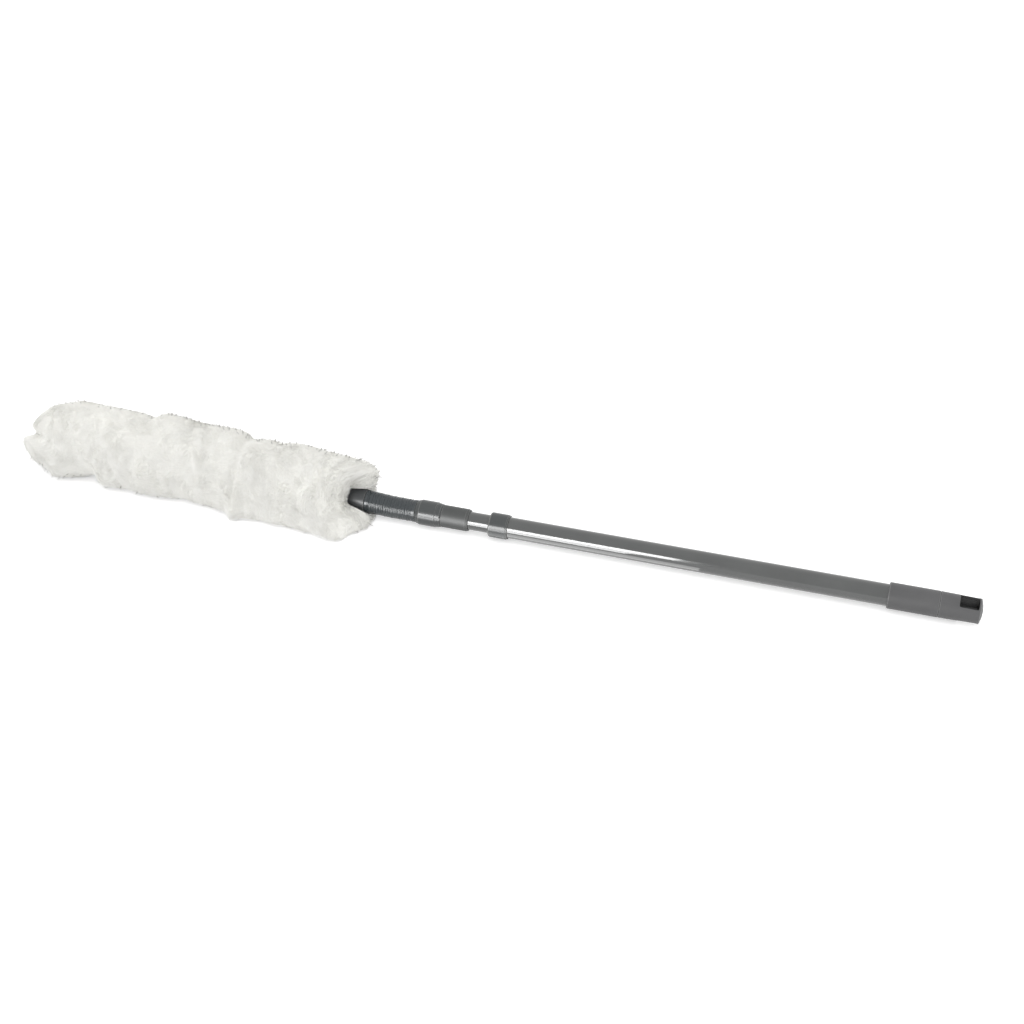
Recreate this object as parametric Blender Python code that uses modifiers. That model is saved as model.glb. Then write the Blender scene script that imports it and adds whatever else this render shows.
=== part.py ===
"""Extendable duster: a two-section twist-lock pole with a bendable, pull-off microfibre head.

Units are metres, +Z is up and X runs along the pole, with the head towards -X and the
hanging cap towards +X. The duster lies on the plane z = 0 as it is put down, resting on the
head socket and on the underside of the pile. The origin is the bottom centre of the whole.
"""

from math import atan2, cos, exp, pi, radians, sin, sqrt, tan

import bmesh
import bpy
from mathutils import Matrix, Vector

# Fits
GAP = 0.0003                     # clearance between pieces that touch or slide
PADDLE_PLAY = 0.0005             # between the paddle and the sleeve's pocket

# Outer tube, its collar, grip and cap
OUTER_TUBE_DIAMETER = 0.0220
OUTER_TUBE_WALL = 0.0007
OUTER_TUBE_LENGTH = 0.4430
COLLAR_DIAMETER = 0.0256
COLLAR_LENGTH = 0.0201
COLLAR_LIP = 0.0040              # thickness of the guide lip in front of the tube
COLLAR_FRONT_ROUND = 0.0026
COLLAR_BACK_ROUND = 0.0011
GRIP_DIAMETER = 0.0258
GRIP_LENGTH = 0.0481
GRIP_ROUND = 0.0009
CAP_LENGTH = 0.0404              # from the seam to the top of the domed end
CAP_SEAM_DIAMETER = 0.0256
CAP_END_DIAMETER = 0.0246
CAP_DOME = 0.0023
CAP_WALL = 0.0020
CAP_STUB_LENGTH = 0.0250         # part of the cap that plugs into the outer tube
CAP_STUB_WALL = 0.0018
CAP_EDGE_ROUND = 0.0008
SLOT_LENGTH = 0.0182             # hanging window, along the pole
SLOT_WIDTH = 0.0188
SLOT_CORNER = 0.0015
SLOT_END_WALL = 0.0042           # from the window to the top of the dome

# Inner tube and its adapter for the head
INNER_TUBE_DIAMETER = 0.0190
INNER_TUBE_WALL = 0.0006
INNER_SHORTER_BY = 0.0080        # than the outer tube, which leaves room for the lock and the cap
CLOSED_EXPOSURE = 0.0219         # inner tube that shows when the pole is closed
ADAPTER_DIAMETER = 0.0230
ADAPTER_LENGTH = 0.0287
ADAPTER_SEAT_DEPTH = 0.0200
ADAPTER_ROUND = 0.0030
SPIGOT_DIAMETER = 0.0210
SPIGOT_LENGTH = 0.0120
SPIGOT_WALL = 0.0022
SPIGOT_CHAMFER = 0.0010

# Twist lock on the inner end of the inner tube
LOCK_PLUG_LENGTH = 0.0180
LOCK_PLUG_BORE = 0.0080
LOCK_FLANGE_DIAMETER = 0.0198
LOCK_FLANGE_THICKNESS = 0.0025
SPINDLE_DIAMETER = 0.0100
SPINDLE_OFFSET = 0.0006          # eccentricity of the spindle and of the ring's bore
SPINDLE_PLAY = 0.0007
LOCK_RING_WIDTH = 0.0120
LOCK_RING_SPLIT = 0.0022
LOCK_RING_GROOVE = 0.0006
LOCK_WASHER_DIAMETER = 0.0170
LOCK_WASHER_THICKNESS = 0.0015
SCREW_DIAMETER = 0.0035
SCREW_LENGTH = 0.0110
SCREW_HEAD_DIAMETER = 0.0070
SCREW_HEAD_HEIGHT = 0.0024
SCREW_DRIVE_WIDTH = 0.0010
SCREW_DRIVE_DEPTH = 0.0012

# Head socket and bendable neck
SOCKET_DIAMETER = 0.0262
SOCKET_LENGTH = 0.0276
SOCKET_FRONT_DIAMETER = 0.0236
SOCKET_CHAMFER = 0.0044
SOCKET_FRONT_WALL = 0.0040
SOCKET_BACK_ROUND = 0.0020
SOCKET_BACK_TAPER = 0.0040
STUB_DIAMETER = 0.0148           # round stubs of socket and paddle inside the boot
STUB_TO_HINGE = 0.0060           # free neck on each side of the bend's centre
BOOT_FRONT_DIAMETER = 0.0240
BOOT_BACK_DIAMETER = 0.0230
BOOT_FRONT_LAND = 0.0061         # front face to the first crest
BOOT_BACK_LAND = 0.0091          # last crest to the back face
RIB_PITCH = 0.0080
RIB_COUNT = 6
RIB_DEPTH = 0.0007
RIB_TOP = 0.28                   # width of a wide rib's crest, as a share of the pitch
RIB_FOOT = 0.56                  # width of a wide rib at its foot
MINOR_RIB_DROP = 0.0002          # how much lower the narrow ribs are
MINOR_RIB_TOP = 0.16
WIRE_DIAMETER = 0.0040
CRIMP_DIAMETER = 0.0072
CRIMP_LENGTH = 0.0080
FERRULE_DIAMETER = 0.0242
FERRULE_FRONT_DIAMETER = 0.0236
FERRULE_LENGTH = 0.0262
FERRULE_ROUND = 0.0010
HEAD_TILT = radians(3.5)         # the thick pile lifts the head's nose

# Paddle
PADDLE_LENGTH = 0.3450
PADDLE_WIDTH = 0.0240
PADDLE_THICKNESS = 0.0050
PADDLE_NOSE_ROUNDING = 0.95      # corner radius as a share of half the width
PADDLE_BACK_ROUNDING = 0.2
PADDLE_RIM = 0.0050              # width of the frame round the slots
PADDLE_NOSE_RIM = 0.0086         # from the nose to the first slot
PADDLE_SLOT_ROUNDING = 0.6       # as a share of half the slot's width
PADDLE_SLOTS = 5
PADDLE_BRIDGE = 0.0080           # between two slots
PADDLE_ROOT = 0.0260             # solid part before the first slot, which takes the crimp
ROOT_BOSS_LENGTH = 0.0120
ROOT_BOSS_CONE = 0.0060

# Sleeve
BACKING_THICKNESS = 0.0008
MOUTH_DIAMETER = 0.0254          # inside of the knit where it is round
HEM_LENGTH = 0.0036
HEM_THICKNESS = 0.0017
HEM_FROM_BOOT = 0.0168           # back of the hem, measured from the boot's front face
POCKET_TAPER = 0.0550            # from the round mouth to the flat pocket
POCKET_NOSE = 0.0120
POCKET_SQUARENESS = 6.0          # of its flat part
PILE_TIP = 0.0110                # pile in front of the pocket's nose
PILE_MOUTH = 0.0286              # how far the pile reaches back over the neck
PILE_RADIUS = 0.0422             # of the plain round form, before it swells, sags and is pressed
PILE_TIP_ROUND_LENGTH = 0.0640
PILE_MOUTH_ROUND_LENGTH = 0.0300
PILE_LIP_RADIUS = 0.0215         # where the outside of the pile turns into the mouth
PILE_MOUTH_RADIUS = 0.0165       # of the pile's mouth at the lip
PILE_SAG = 0.0030                # of the section's middle, towards the low front side
PILE_TIP_SAG = 0.0110            # and how much more of it at the tip
GROUND_SPREAD_SHARE = 0.14       # how much wider the pile lies near the ground
MOUTH_SPREAD_SHARE = 0.12        # and how much more of it near the mouth
MOUTH_SPREAD_LENGTH = 0.0450
GROUND_SPREAD_HEIGHT = 0.0180
MOUTH_OPENING = 0.0255           # how far the mouth's edge draws back in front of the ferrule
MOUTH_OPENING_HALF_ANGLE = radians(53)
MOUTH_SHORTER_ABOVE = 0.0060
MOUTH_SHIFT_LENGTH = 0.0850      # how much of the pile these two move
NOTCH_DEPTH = 0.0085             # parting of the pile at the tip
NOTCH_HALF_WIDTH = 0.0065
NOTCH_OFFSET = 0.0130            # from the head's axis, towards the low front side
NOTCH_LENGTH = 0.0400

# Directions round the head's axis, from +Y towards up
UPPER_ANGLE = radians(52)
LOWER_ANGLE = radians(229)
MOUTH_OPENING_ANGLE = radians(138)

# How far the pile stands out on two sides where its tufts bunch, as shares of its length from
# the mouth and of its radius
UPPER_REACH = (
    (0.00, 0.80), (0.10, 0.92), (0.18, 0.95), (0.24, 1.00), (0.30, 0.92), (0.36, 0.86),
    (0.40, 1.00), (0.50, 0.95), (0.61, 1.02), (0.65, 0.86), (0.72, 0.88), (0.87, 0.86),
)
LOWER_REACH = (
    (0.00, 0.70), (0.07, 1.04), (0.16, 1.03), (0.30, 1.03), (0.35, 1.12), (0.39, 0.96),
    (0.48, 0.87), (0.62, 0.97), (0.73, 0.99), (0.77, 0.78), (0.82, 0.92), (0.88, 1.03),
)
BETWEEN_SHARE = 0.35             # of the two sides' swell on the sides between them

# Smoothness of the meshes
SIDES = 28
BOOT_SIDES = 24
SPINDLE_SIDES = 32
SMALL_SIDES = 16
ARC_STEPS = 2
PILE_RINGS = 26
POCKET_RINGS = 7
SMOOTH_ANGLE = radians(35)

INNER_TUBE_LENGTH = OUTER_TUBE_LENGTH - INNER_SHORTER_BY

# Distances along the pole from the front face of the tube collar
TUBE_FRONT = COLLAR_LIP + GAP
TUBE_BACK = TUBE_FRONT + OUTER_TUBE_LENGTH
CAP_FRONT = TUBE_BACK + GAP
CAP_BACK = CAP_FRONT + CAP_LENGTH
ADAPTER_BACK = -CLOSED_EXPOSURE
ADAPTER_FRONT = ADAPTER_BACK - ADAPTER_LENGTH
INNER_FRONT = ADAPTER_BACK - ADAPTER_SEAT_DEPTH + GAP
INNER_BACK = INNER_FRONT + INNER_TUBE_LENGTH
SOCKET_BACK = ADAPTER_FRONT - GAP
SOCKET_FRONT = SOCKET_BACK - SOCKET_LENGTH
BOOT_LENGTH = BOOT_FRONT_LAND + (RIB_COUNT - 1) * RIB_PITCH + BOOT_BACK_LAND
HINGE = SOCKET_FRONT - GAP - BOOT_LENGTH / 2
AXIS_HEIGHT = max(SOCKET_DIAMETER, COLLAR_DIAMETER, GRIP_DIAMETER) / 2

# Distances along the head from the neck's hinge, negative towards the tip
BOOT_FRONT = -BOOT_LENGTH / 2
FERRULE_BACK = BOOT_FRONT - GAP
FERRULE_FRONT = FERRULE_BACK - FERRULE_LENGTH
PADDLE_BACK = FERRULE_FRONT - GAP
PADDLE_FRONT = PADDLE_BACK - PADDLE_LENGTH
HEM_BACK = BOOT_FRONT - HEM_FROM_BOOT
HEM_FRONT = HEM_BACK - HEM_LENGTH
BACKING_BACK = HEM_FRONT - GAP
POCKET_FRONT = PADDLE_FRONT - PADDLE_PLAY
BACKING_FRONT = POCKET_FRONT - BACKING_THICKNESS
PILE_FRONT = BACKING_FRONT - PILE_TIP
PILE_BACK = HEM_BACK + PILE_MOUTH

# Radii that several pieces share
OUTER_BORE = OUTER_TUBE_DIAMETER / 2 - OUTER_TUBE_WALL
INNER_BORE = INNER_TUBE_DIAMETER / 2 - INNER_TUBE_WALL
BOOT_BORE = STUB_DIAMETER / 2 + GAP
WIRE_BORE = WIRE_DIAMETER / 2 + GAP


def clear_scene():
    """Remove every object of the open file."""
    for item in list(bpy.data.objects):
        bpy.data.objects.remove(item, do_unlink=True)


def new_collection(name):
    """Add a collection to the scene and return it."""
    collection = bpy.data.collections.new(name)
    bpy.context.scene.collection.children.link(collection)
    return collection


def new_material(name, colour, roughness, metallic=0.0):
    """Return a Principled material with one colour."""
    material = bpy.data.materials.new(name)
    material.use_nodes = True
    shader = material.node_tree.nodes["Principled BSDF"]
    shader.inputs["Base Color"].default_value = (*colour, 1.0)
    shader.inputs["Roughness"].default_value = roughness
    shader.inputs["Metallic"].default_value = metallic
    return material


def new_empty(name, parent, location=(0.0, 0.0, 0.0), turn_y=0.0):
    """Return an empty that carries the pieces of one moving body, on its joint's axis."""
    empty = bpy.data.objects.new(name, None)
    bpy.context.scene.collection.objects.link(empty)
    empty.empty_display_size = 0.02
    empty.parent = parent
    empty.location = location
    empty.rotation_euler = (0.0, turn_y, 0.0)
    return empty


def new_piece(name, mesh, material, parent):
    """Return an object of the duster with its mesh, material and parent."""
    piece = bpy.data.objects.new(name, mesh)
    piece.parent = parent
    DUSTER.objects.link(piece)
    mesh.materials.append(material)
    return piece


def smooth(mesh):
    """Shade a mesh smooth except across its sharp edges."""
    mesh.shade_smooth()
    mesh.set_sharp_from_angle(angle=SMOOTH_ANGLE)


def arc_points(before, corner, after, radius):
    """Return the points of an arc that rounds one corner of a profile."""
    to_before = (before - corner).normalized()
    to_after = (after - corner).normalized()
    half = to_before.angle(to_after) / 2
    room = 0.48 * min((before - corner).length, (after - corner).length)
    reach = min(radius / tan(half), room)
    radius = reach * tan(half)
    centre = corner + (to_before + to_after).normalized() * radius / sin(half)
    first = corner + to_before * reach - centre
    last = corner + to_after * reach - centre
    start = atan2(first.y, first.x)
    turn = (atan2(last.y, last.x) - start + pi) % (2 * pi) - pi
    angles = [start + turn * step / ARC_STEPS for step in range(ARC_STEPS + 1)]
    return [centre + radius * Vector((cos(angle), sin(angle))) for angle in angles]


def rounded(corners):
    """Return a profile's points, with an arc at each corner (along, radius, rounding) that has one."""
    flat = [Vector(corner[:2]) for corner in corners]
    points = []
    for index, corner in enumerate(corners):
        if len(corner) > 2:
            after = flat[(index + 1) % len(flat)]
            points += arc_points(flat[index - 1], flat[index], after, corner[2])
        else:
            points.append(flat[index])
    return points


def turned_mesh(name, corners, sides, on_axis):
    """Return a mesh turned about the pole's direction from a profile.

    The profile runs from the cap's side towards the head along its outer side, and back along
    its bore. With on_axis it starts and ends on the axis instead of closing on itself.
    """
    points = rounded(corners)
    profile = bpy.data.meshes.new(name + "_profile")
    edges = [(index, index + 1) for index in range(len(points) - 1)]
    if not on_axis:
        edges.append((len(points) - 1, 0))
    profile.from_pydata([(point.y, 0.0, point.x) for point in points], edges, [])
    blank = bpy.data.objects.new(name + "_profile", profile)
    GUIDES.objects.link(blank)
    screw = blank.modifiers.new("Screw", "SCREW")
    screw.angle = 2 * pi
    screw.steps = sides
    screw.render_steps = sides
    screw.use_merge_vertices = True
    screw.merge_threshold = 0.000001
    bpy.context.view_layer.update()
    graph = bpy.context.evaluated_depsgraph_get()
    mesh = bpy.data.meshes.new_from_object(blank.evaluated_get(graph))
    bpy.data.objects.remove(blank)
    mesh.name = name
    mesh.transform(Matrix.Rotation(pi / 2, 4, "Y"))
    smooth(mesh)
    return mesh


def turned(name, corners, material, parent, sides=SIDES, on_axis=False):
    """Return a turned piece of the duster."""
    return new_piece(name, turned_mesh(name, corners, sides, on_axis), material, parent)


def tube_profile(back, front, outer, bore):
    """Return the profile of a plain tube."""
    return [(back, outer), (front, outer), (front, bore), (back, bore)]


def cutter(name, mesh, parent):
    """Return an object that is only used by a Boolean."""
    tool = bpy.data.objects.new(name, mesh)
    tool.parent = parent
    tool.hide_render = True
    tool.display_type = "WIRE"
    CUTTERS.objects.link(tool)
    return tool


def block_mesh(name, low, high, corner=0.0, corner_axis=2):
    """Return a box between two corners, with the edges along one axis rounded."""
    mesh = bpy.data.meshes.new(name)
    shape = bmesh.new()
    bmesh.ops.create_cube(shape, size=1.0)
    size = [high[axis] - low[axis] for axis in range(3)]
    middle = [(high[axis] + low[axis]) / 2 for axis in range(3)]
    bmesh.ops.scale(shape, vec=size, verts=shape.verts)
    bmesh.ops.translate(shape, vec=middle, verts=shape.verts)
    if corner > 0:
        along = []
        for edge in shape.edges:
            reach = abs(edge.verts[0].co[corner_axis] - edge.verts[1].co[corner_axis])
            if reach > size[corner_axis] / 2:
                along.append(edge)
        bmesh.ops.bevel(shape, geom=along, offset=corner, segments=ARC_STEPS, profile=0.5, affect="EDGES")
    shape.to_mesh(mesh)
    shape.free()
    return mesh


def boolean(piece, tool, operation):
    """Cut one tool from a piece, or join it to the piece."""
    modifier = piece.modifiers.new(operation.title(), "BOOLEAN")
    modifier.operation = operation
    modifier.solver = "EXACT"
    modifier.object = tool


def section(half_width, half_height, squareness, sides=SIDES):
    """Return the points (y, z) of an oval, rounder or squarer by its exponent."""
    points = []
    for index in range(sides):
        angle = 2 * pi * index / sides
        across = abs(cos(angle)) ** (2 / squareness) * (1 if cos(angle) >= 0 else -1)
        up = abs(sin(angle)) ** (2 / squareness) * (1 if sin(angle) >= 0 else -1)
        points.append((half_width * across, half_height * up))
    return points


def loft(name, rings, material, parent):
    """Return a piece lofted through rings of points, closed by its first and last point."""
    mesh = bpy.data.meshes.new(name)
    shape = bmesh.new()
    rows = [[shape.verts.new(point) for point in ring] for ring in rings]
    for row, following in zip(rows, rows[1:]):
        count = max(len(row), len(following))
        for index in range(count):
            after = (index + 1) % count
            corners = [row[index % len(row)], row[after % len(row)],
                       following[after % len(following)], following[index % len(following)]]
            shape.faces.new(list(dict.fromkeys(corners)))
    bmesh.ops.recalc_face_normals(shape, faces=shape.faces)
    shape.to_mesh(mesh)
    shape.free()
    smooth(mesh)
    return new_piece(name, mesh, material, parent)


def make_outer_tube(parent):
    """Make the outer tube and the collar at its mouth."""
    turned("outer_tube",
           tube_profile(TUBE_BACK, TUBE_FRONT, OUTER_TUBE_DIAMETER / 2, OUTER_BORE), TUBE_PAINT, parent)
    outer = COLLAR_DIAMETER / 2
    lip_bore = INNER_TUBE_DIAMETER / 2 + GAP
    skirt_bore = OUTER_TUBE_DIAMETER / 2 + GAP
    turned("tube_collar", [
        (COLLAR_LENGTH, skirt_bore + 0.4 * (outer - skirt_bore)),
        (COLLAR_LENGTH - COLLAR_BACK_ROUND, outer, COLLAR_BACK_ROUND),
        (COLLAR_FRONT_ROUND, outer, COLLAR_FRONT_ROUND),
        (0.0, lip_bore + 0.5 * (outer - lip_bore), COLLAR_FRONT_ROUND),
        (0.0, lip_bore),
        (COLLAR_LIP, lip_bore),
        (COLLAR_LIP, skirt_bore),
        (COLLAR_LENGTH, skirt_bore),
    ], GREY_PLASTIC, parent)


def make_grip(parent):
    """Make the sleeve that covers the held end of the outer tube."""
    front = TUBE_BACK - GRIP_LENGTH
    outer = GRIP_DIAMETER / 2
    bore = OUTER_TUBE_DIAMETER / 2 + GAP
    turned("grip_sleeve", [
        (TUBE_BACK, outer, GRIP_ROUND / 2),
        (front, outer, GRIP_ROUND),
        (front, bore),
        (TUBE_BACK, bore),
    ], GRIP_PLASTIC, parent)


def make_hanging_cap(parent):
    """Make the plug-in end cap with its window through both sides."""
    rim = CAP_BACK - CAP_DOME
    seam_outer = CAP_SEAM_DIAMETER / 2
    end_outer = CAP_END_DIAMETER / 2
    stub_outer = OUTER_BORE - GAP
    stub_bore = stub_outer - CAP_STUB_WALL
    stub_front = TUBE_BACK - CAP_STUB_LENGTH
    cap = turned("hanging_cap", [
        (CAP_BACK, 0.0),
        (CAP_BACK - 0.25 * CAP_DOME, 0.5 * end_outer),
        (rim, end_outer, CAP_EDGE_ROUND),
        (CAP_FRONT, seam_outer, CAP_EDGE_ROUND / 2),
        (CAP_FRONT, stub_outer),
        (stub_front, stub_outer),
        (stub_front, stub_bore),
        (CAP_FRONT + CAP_WALL, stub_bore),
        (CAP_FRONT + CAP_WALL, seam_outer - CAP_WALL),
        (rim - CAP_WALL, end_outer - CAP_WALL),
        (CAP_BACK - CAP_WALL, 0.0),
    ], GRIP_PLASTIC, parent, on_axis=True)
    slot_back = CAP_BACK - SLOT_END_WALL
    window = block_mesh("slot_cutter",
                        (slot_back - SLOT_LENGTH, -SLOT_WIDTH / 2, -CAP_SEAM_DIAMETER),
                        (slot_back, SLOT_WIDTH / 2, CAP_SEAM_DIAMETER), SLOT_CORNER)
    boolean(cap, cutter("slot_cutter", window, parent), "DIFFERENCE")


def make_inner_tube(parent):
    """Make the inner tube and the adapter that plugs into the head."""
    turned("inner_tube",
           tube_profile(INNER_BACK, INNER_FRONT, INNER_TUBE_DIAMETER / 2, INNER_BORE), TUBE_PAINT, parent)
    outer = ADAPTER_DIAMETER / 2
    seat = INNER_TUBE_DIAMETER / 2 + GAP
    spigot = SPIGOT_DIAMETER / 2
    spigot_front = ADAPTER_FRONT - SPIGOT_LENGTH
    turned("tip_adapter", [
        (ADAPTER_BACK, seat + 0.35 * (outer - seat)),
        (ADAPTER_BACK - ADAPTER_ROUND, outer, ADAPTER_ROUND / 2),
        (ADAPTER_FRONT, outer, ADAPTER_ROUND / 4),
        (ADAPTER_FRONT, spigot),
        (spigot_front + SPIGOT_CHAMFER, spigot),
        (spigot_front, spigot - SPIGOT_CHAMFER),
        (spigot_front, spigot - SPIGOT_WALL),
        (ADAPTER_BACK - ADAPTER_SEAT_DEPTH, spigot - SPIGOT_WALL),
        (ADAPTER_BACK - ADAPTER_SEAT_DEPTH, seat),
        (ADAPTER_BACK, seat),
    ], GREY_PLASTIC, parent)


def lock_stations():
    """Return where the lock's flange, spindle and washer end, going into the outer tube."""
    flange_back = INNER_BACK + GAP + LOCK_FLANGE_THICKNESS
    spindle_back = flange_back + LOCK_RING_WIDTH + 2 * GAP
    washer_back = spindle_back + GAP + LOCK_WASHER_THICKNESS
    return flange_back, spindle_back, washer_back


def shift_up(mesh, distance):
    """Move a mesh sideways from the pole's axis."""
    mesh.transform(Matrix.Translation((0.0, 0.0, distance)))
    return mesh


def make_lock_core(parent):
    """Make the plug in the inner tube, with its flange and its eccentric spindle."""
    flange_back, spindle_back, _ = lock_stations()
    flange_front = INNER_BACK + GAP
    plug = INNER_BORE - GAP
    plug_front = flange_front - LOCK_PLUG_LENGTH
    core = turned("lock_core", [
        (flange_back, 0.0),
        (flange_back, LOCK_FLANGE_DIAMETER / 2),
        (flange_front, LOCK_FLANGE_DIAMETER / 2),
        (flange_front, plug),
        (plug_front, plug, 2 * GAP),
        (plug_front, LOCK_PLUG_BORE / 2),
        (flange_front - GAP, LOCK_PLUG_BORE / 2),
        (flange_front - GAP, 0.0),
    ], LOCK_PLASTIC, parent, on_axis=True)
    hole = SCREW_DIAMETER / 2 + GAP
    hole_front = spindle_back - SCREW_LENGTH
    half_flange = flange_back - LOCK_FLANGE_THICKNESS / 2
    spindle = turned_mesh("spindle", [
        (hole_front, 0.0),
        (hole_front, hole),
        (spindle_back, hole),
        (spindle_back, SPINDLE_DIAMETER / 2),
        (half_flange, SPINDLE_DIAMETER / 2),
        (half_flange, 0.0),
    ], SPINDLE_SIDES, True)
    boolean(core, cutter("spindle", shift_up(spindle, SPINDLE_OFFSET), parent), "UNION")


def make_lock_ring(parent):
    """Make the split ring whose bore is off centre, with a groove round its outside."""
    flange_back, _, _ = lock_stations()
    front = flange_back + GAP
    back = front + LOCK_RING_WIDTH
    middle = (front + back) / 2
    outer = OUTER_BORE - GAP
    ring = turned("lock_ring", [
        (back, 0.0),
        (back, outer, 2 * GAP),
        (middle + LOCK_RING_GROOVE, outer),
        (middle, outer - LOCK_RING_GROOVE),
        (middle - LOCK_RING_GROOVE, outer),
        (front, outer, 2 * GAP),
        (front, 0.0),
    ], LOCK_PLASTIC, parent, on_axis=True)
    bore = turned_mesh("ring_bore", [
        (back + LOCK_RING_WIDTH, 0.0),
        (back + LOCK_RING_WIDTH, SPINDLE_DIAMETER / 2 + SPINDLE_PLAY),
        (front - LOCK_RING_WIDTH, SPINDLE_DIAMETER / 2 + SPINDLE_PLAY),
        (front - LOCK_RING_WIDTH, 0.0),
    ], SPINDLE_SIDES, True)
    boolean(ring, cutter("ring_bore", shift_up(bore, SPINDLE_OFFSET), parent), "DIFFERENCE")
    split = block_mesh("ring_split",
                       (front - LOCK_RING_WIDTH, -LOCK_RING_SPLIT / 2, SPINDLE_OFFSET),
                       (back + LOCK_RING_WIDTH, LOCK_RING_SPLIT / 2, OUTER_TUBE_DIAMETER))
    boolean(ring, cutter("ring_split", split, parent), "DIFFERENCE")


def make_lock_fastening(parent):
    """Make the washer that keeps the ring on its spindle, and its screw."""
    _, spindle_back, washer_back = lock_stations()
    shank = SCREW_DIAMETER / 2
    washer = turned("lock_washer",
                    tube_profile(washer_back, spindle_back + GAP, LOCK_WASHER_DIAMETER / 2, shank + GAP),
                    STEEL, parent)
    shift_up(washer.data, SPINDLE_OFFSET)
    head_front = washer_back + GAP
    head_back = head_front + SCREW_HEAD_HEIGHT
    head = SCREW_HEAD_DIAMETER / 2
    tip = spindle_back - SCREW_LENGTH + 2 * GAP
    screw = turned("lock_screw", [
        (head_back, 0.0),
        (head_back, 0.7 * head),
        (head_front, head, SCREW_HEAD_HEIGHT / 2),
        (head_front, shank),
        (tip + shank, shank),
        (tip, 0.0),
    ], STEEL, parent, sides=SMALL_SIDES, on_axis=True)
    shift_up(screw.data, SPINDLE_OFFSET)
    for name, along, across in (("drive_flat", SCREW_HEAD_DIAMETER / 3, SCREW_DRIVE_WIDTH / 2),
                                ("drive_upright", SCREW_DRIVE_WIDTH / 2, SCREW_HEAD_DIAMETER / 3)):
        drive = block_mesh(name, (head_back - SCREW_DRIVE_DEPTH, -along, SPINDLE_OFFSET - across),
                           (head_back + SCREW_DRIVE_DEPTH, along, SPINDLE_OFFSET + across))
        boolean(screw, cutter(name, drive, parent), "DIFFERENCE")


def make_head_socket(parent):
    """Make the stepped collar that takes the adapter, with its stub inside the boot."""
    outer = SOCKET_DIAMETER / 2
    cavity = SPIGOT_DIAMETER / 2 + GAP
    stub_front = HINGE + STUB_TO_HINGE
    turned("head_socket", [
        (SOCKET_BACK, cavity + 0.4 * (outer - cavity)),
        (SOCKET_BACK - SOCKET_BACK_TAPER, outer, SOCKET_BACK_ROUND),
        (SOCKET_FRONT + SOCKET_CHAMFER, outer, SOCKET_BACK_ROUND),
        (SOCKET_FRONT, SOCKET_FRONT_DIAMETER / 2),
        (SOCKET_FRONT, STUB_DIAMETER / 2),
        (stub_front, STUB_DIAMETER / 2, 2 * GAP),
        (stub_front, WIRE_BORE),
        (SOCKET_FRONT + SOCKET_FRONT_WALL, WIRE_BORE),
        (SOCKET_FRONT + SOCKET_FRONT_WALL, cavity),
        (SOCKET_BACK, cavity),
    ], GREY_PLASTIC, parent)


def make_crimp(name, front, parent):
    """Make one crimp sleeve on the neck's wire."""
    turned(name, [
        (front + CRIMP_LENGTH, CRIMP_DIAMETER / 2, 2 * GAP),
        (front, CRIMP_DIAMETER / 2, 2 * GAP),
        (front, WIRE_BORE),
        (front + CRIMP_LENGTH, WIRE_BORE),
    ], STEEL, parent, sides=SMALL_SIDES)


def wire_ends():
    """Return the wire's two ends, measured from the hinge: in the paddle's root and in the socket."""
    socket_wall = SOCKET_FRONT + SOCKET_FRONT_WALL - HINGE
    return FERRULE_FRONT - ROOT_BOSS_LENGTH - GAP - CRIMP_LENGTH, socket_wall + GAP + CRIMP_LENGTH


def neck_bend(point):
    """Carry a point of the straight neck, measured from the hinge, to the resting bend."""
    share = min(1.0, max(0.0, (STUB_TO_HINGE - point.x) / (2 * STUB_TO_HINGE)))
    ease = share * share * (3 - 2 * share)
    return Matrix.Rotation(HEAD_TILT * ease, 3, "Y") @ point


def make_neck_boot(parent):
    """Make the ribbed boot, with a wide and a narrow rib in each pitch."""
    front = BOOT_FRONT
    back = BOOT_LENGTH / 2

    def crest(along):
        share = (along - front) / BOOT_LENGTH
        return (BOOT_FRONT_DIAMETER + share * (BOOT_BACK_DIAMETER - BOOT_FRONT_DIAMETER)) / 2

    first = front + BOOT_FRONT_LAND
    ridges = []
    for index in range(RIB_COUNT):
        middle = first + index * RIB_PITCH
        top = RIB_TOP * RIB_PITCH / 2
        foot = RIB_FOOT * RIB_PITCH / 2
        ridges += [(middle - foot, RIB_DEPTH), (middle - top, 0.0), (middle + top, 0.0)]
        ridges.append((middle + foot, RIB_DEPTH))
        if index < RIB_COUNT - 1:
            minor = middle + RIB_PITCH / 2
            minor_top = MINOR_RIB_TOP * RIB_PITCH / 2
            ridges += [(minor - minor_top, MINOR_RIB_DROP), (minor + minor_top, MINOR_RIB_DROP)]
    cuff_front = first + (RIB_COUNT - 1) * RIB_PITCH + (1 - RIB_FOOT / 2) * RIB_PITCH / 2
    outer = [(back, crest(back) - GAP), (max(cuff_front, back - BOOT_BACK_LAND / 2), crest(back))]
    outer += [(along, crest(along) - drop) for along, drop in reversed(ridges)]
    outer += [(front + 2 * GAP, crest(front)), (front, crest(front) - GAP)]
    bends = [-STUB_TO_HINGE, -STUB_TO_HINGE / 3, STUB_TO_HINGE / 3, STUB_TO_HINGE]
    bore = [(along, BOOT_BORE) for along in (front, *bends, back)]
    boot = turned("neck_boot", outer + bore, BOOT_RUBBER, parent, sides=BOOT_SIDES)
    for vertex in boot.data.vertices:
        vertex.co = neck_bend(vertex.co)
    boot.location.x = HINGE


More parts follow.
